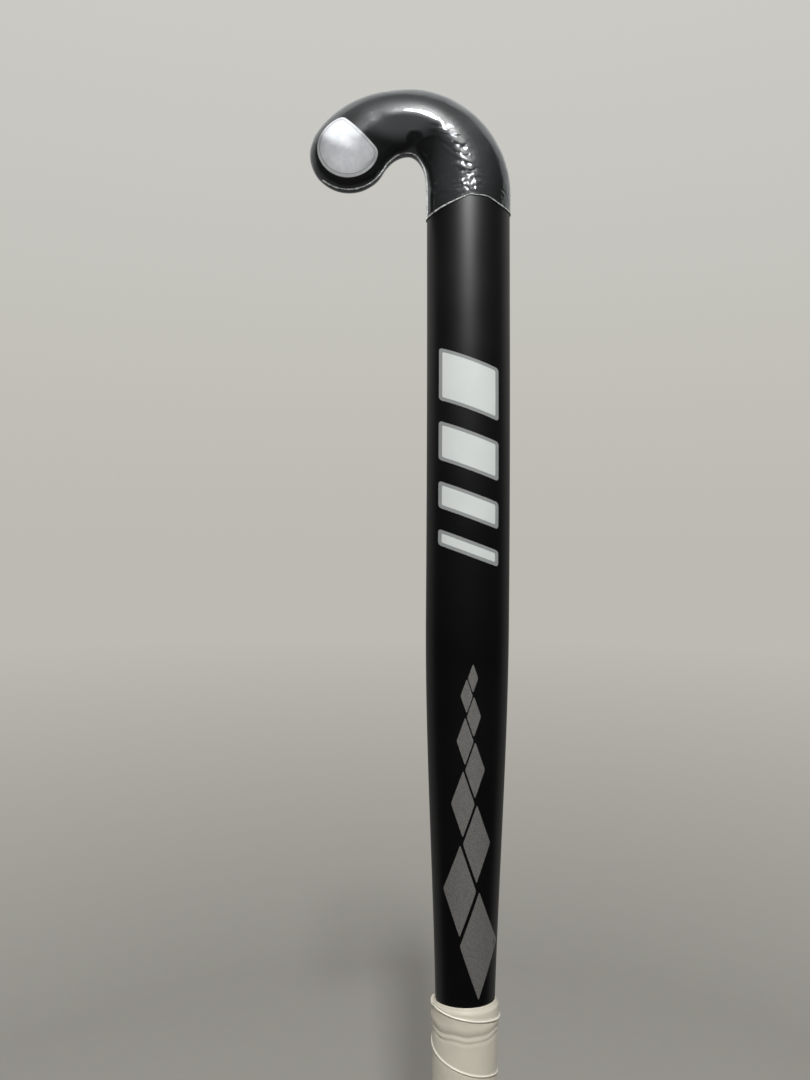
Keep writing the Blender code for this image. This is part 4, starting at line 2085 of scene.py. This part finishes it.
@dataclass
class ButtCap(SubAssembly):
    """Moulded cap as wide as the grip, with a rounded rim and a barbed spigot in the handle."""

    flange: float = 4.0 * MM
    rounding: float = 1.6 * MM
    round_steps: int = 9
    overhang: float = 2.0 * MM
    spigot_length: float = 18 * MM
    barb: float = 0.8 * MM
    barbs: int = 4
    bore_inset: float = 2.5 * MM
    detail: RingDetail = RingDetail(4, 10, 24)
    finish: Finish = MouldedNylon()

    def build(self) -> Iterator[bpy.types.Object]:
        """Loft the flange and its spigot.

        Yields:
            The cap.
        """
        places = []
        for turn in np.linspace(0, math.pi / 2, self.round_steps):
            inset = self.rounding * (1 - math.sin(turn)) - self.overhang
            places.append((self.rounding * (1 - math.cos(turn)), inset))
        places.append((self.flange, -self.overhang))
        step = self.spigot_length / self.barbs
        neck = self.bore_inset + self.barb
        for count in range(self.barbs):
            bottom = self.flange + count * step
            places += [(bottom, neck), (bottom + step / 2, neck), (bottom + step / 2, self.bore_inset)]
        places.append((self.flange + self.spigot_length, neck))
        rows = [self.form.ring(self.form.shaft_station(z), inset, self.detail) for z, inset in places]
        draft = MeshDraft()
        numbers = draft.add_points(np.array(rows))
        draft.add_quads(numbers, closed=True)
        draft.faces += [tuple(numbers[0].tolist()), tuple(numbers[-1].tolist())]
        yield self.add(draft.mesh("moulded_butt_cap"), self.finish, Slot.CAP, ("butt_cap",))


@dataclass
class InnerPieces:
    """The cells, foams and plug inside the laminate, which stay as packed and get their finish."""

    carbon: Finish = CarbonLaminate()
    cell_foam: Finish = PolyurethaneFoam()
    core_foam: Finish = PolyurethaneFoam("dense_polyurethane_foam_poured", "#CDBB93", "#A28C5C")

    def dress(self) -> Iterator[bpy.types.Object]:
        """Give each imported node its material.

        Yields:
            The dressed nodes.
        """
        finishes = {
            "toe_cell_tube": self.carbon,
            "heel_cell_tube": self.carbon,
            "toe_cell_foam": self.cell_foam,
            "heel_cell_foam": self.cell_foam,
            "head_core": self.core_foam,
            "butt_plug": self.core_foam,
        }
        for name, finish in finishes.items():
            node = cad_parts[name]
            node.data.materials.clear()
            node.data.materials.append(finish.make())
            yield node


@dataclass
class Studio:
    """Camera at the photograph's place, one lamp, a soft fill, pale surroundings and the floor."""

    eye: Vector = field(default_factory=lambda: Vector((-36.2, -482, 656.5)) * MM)
    roll: float = math.radians(0.42)
    lens: float = 27.03
    sensor: float = 36.0
    lamp_place: tuple[float, float, float] = (0.02, -1.10, 2.03)
    lamp_aim: tuple[float, float, float] = (-0.02, 0.0, 0.9)
    lamp_size: tuple[float, float] = (0.1, 0.3)
    lamp_power: float = 22.0
    fill_place: tuple[float, float, float] = (0.0, -6.0, 1.2)
    fill_aim: tuple[float, float, float] = (0.0, 0.0, 0.75)
    fill_size: tuple[float, float] = (6.5, 2.2)
    fill_power: float = 150.0
    # Brightness by the height of the direction, behind the stick and before it
    wall_stops: tuple[tuple[float, float], ...] = (
        (-1.0, 0.15),
        (0.0, 0.25),
        (0.5, 0.6),
        (0.7, 0.7),
        (0.95, 0.9),
    )
    room_stops: tuple[tuple[float, float], ...] = ((-1.0, 0.015), (0.1, 0.02), (0.75, 0.1), (0.9, 0.4))
    # Green and blue of that light, as shares of its red
    warmth: tuple[float, float] = (0.985, 0.95)
    # Depth of direction over which the room gives way to the wall
    wall_edge: float = 0.06
    backdrop_low: str = "#BCBAB2"
    backdrop_high: str = "#CBCAC5"
    backdrop_top: float = 0.55
    floor_reach: float = 46.0
    far: float = 120.0

    def add_camera(self) -> None:
        """Put the camera level, looking along +Y."""
        camera = bpy.data.cameras.new("photo_camera")
        camera.lens = self.lens
        camera.sensor_width = self.sensor
        camera.clip_end = self.far
        holder = bpy.data.objects.new("photo_camera", camera)
        holder.location = self.eye
        holder.rotation_euler = (math.pi / 2, -self.roll, 0.0)
        bpy.context.scene.collection.objects.link(holder)
        bpy.context.scene.camera = holder

    def add_light(
        self,
        name: str,
        place: tuple[float, float, float],
        aim: tuple[float, float, float],
        size: tuple[float, float],
        power: float,
        glossy: bool,
    ) -> None:
        """Add a rectangular light.

        Args:
            name: Its name.
            place: Where it is.
            aim: The point that it faces.
            size: Its width and height.
            power: Its power in watts.
            glossy: Whether shiny surfaces mirror it.
        """
        light = bpy.data.lights.new(name, "AREA")
        light.shape = "RECTANGLE"
        light.size, light.size_y = size
        light.energy = power
        holder = bpy.data.objects.new(name, light)
        holder.location = place
        holder.rotation_euler = (Vector(aim) - Vector(place)).to_track_quat("-Z", "Y").to_euler()
        holder.visible_camera = False
        holder.visible_glossy = glossy
        bpy.context.scene.collection.objects.link(holder)

    def add_surroundings(self) -> None:
        """Paint the world: a pale wall behind the stick, a dark room before it, pale to the camera."""
        world = bpy.data.worlds.new("pale_room")
        bpy.context.scene.world = world
        world.use_nodes = True
        tree = world.node_tree
        tree.nodes.clear()
        way = add_node(tree, "ShaderNodeTexCoord").outputs["Generated"]
        parts = add_node(tree, "ShaderNodeSeparateXYZ", {0: way})

        def gradient(stops: tuple[tuple[float, float], ...]) -> bpy.types.NodeSocket:
            """Grade brightness by the height of the direction, from -1 to 1.

            Args:
                stops: Pairs of (height, brightness) from below.

            Returns:
                The colour.
            """
            share = add_node(tree, "ShaderNodeMapRange", {"Value": parts.outputs["Z"], "From Min": -1.0})
            ramp = add_node(tree, "ShaderNodeValToRGB", {"Fac": share.outputs[0]})
            marks = ramp.color_ramp.elements
            while len(marks) < len(stops):
                marks.new(0.5)
            green, blue = self.warmth
            for mark, (height, level) in zip(marks, stops):
                mark.position = (height + 1) / 2
                mark.color = (level, level * green, level * blue, 1.0)
            return ramp.outputs[0]

        wall = gradient(self.wall_stops)
        room = gradient(self.room_stops)
        behind = add_node(
            tree, "ShaderNodeMapRange", {"Value": parts.outputs["Y"], "From Max": self.wall_edge}
        )
        lit = add_node(
            tree, "ShaderNodeMixRGB", {"Fac": behind.outputs[0], "Color1": room, "Color2": wall}
        )
        seen = add_node(
            tree,
            "ShaderNodeMapRange",
            {"Value": parts.outputs["Z"], "From Min": 0.0, "From Max": self.backdrop_top},
        )
        backdrop = add_node(
            tree,
            "ShaderNodeMixRGB",
            {
                "Fac": seen.outputs[0],
                "Color1": linear(self.backdrop_low),
                "Color2": linear(self.backdrop_high),
            },
        )
        is_seen = add_node(tree, "ShaderNodeLightPath").outputs["Is Camera Ray"]
        colour = add_node(
            tree,
            "ShaderNodeMixRGB",
            {"Fac": is_seen, "Color1": lit.outputs[0], "Color2": backdrop.outputs[0]},
        )
        light = add_node(tree, "ShaderNodeBackground", {"Color": colour.outputs[0]})
        add_node(tree, "ShaderNodeOutputWorld", {"Surface": light.outputs[0]})

    def add_floor(self) -> None:
        """Lay the floor under the butt."""
        reach = self.floor_reach
        mesh = bpy.data.meshes.new("studio_floor")
        corners = [(-reach, -reach, 0), (reach, -reach, 0), (reach, reach, 0), (-reach, reach, 0)]
        mesh.from_pydata(corners, [], [(0, 1, 2, 3)])
        mesh.materials.append(StudioFloor().make())
        floor = bpy.data.objects.new("studio_floor", mesh)
        bpy.context.scene.collection.objects.link(floor)
        # The room before the stick is dark in its gloss, as in the photograph
        floor.visible_glossy = False

    def build(self) -> None:
        """Set up the studio, with colours shown as they are."""
        self.add_camera()
        self.add_light(
            "ceiling_lamp", self.lamp_place, self.lamp_aim, self.lamp_size, self.lamp_power, True
        )
        self.add_light("soft_fill", self.fill_place, self.fill_aim, self.fill_size, self.fill_power, False)
        self.add_surroundings()
        self.add_floor()
        bpy.context.scene.view_settings.view_transform = "Standard"


def main() -> None:
    """Build the stick's sub-assemblies in order, then the studio."""
    logging.basicConfig(level=logging.INFO, format="%(name)s: %(message)s")
    form = StickForm(length=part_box("outer_laminate")[1].z)
    laminate = OuterLaminate(form)
    surface = laminate.surface()
    grip = GripTape(form)
    assemblies: list[SubAssembly] = [
        laminate,
        ButtCap(form),
        grip,
        FinishingStrip(form, grip),
        WhiteBlocks(form, surface),
        SilverDiamonds(form, surface),
        ToePanel(form, surface),
        HeadFilm(form),
    ]
    for assembly in assemblies:
        for piece in assembly.build():
            logger.info("%s: %d vertices", piece.name, len(piece.data.vertices))
    for node in InnerPieces().dress():
        logger.info("%s: dressed as packed", node.name)
    Studio().build()


if __name__ == "__main__":
    main()
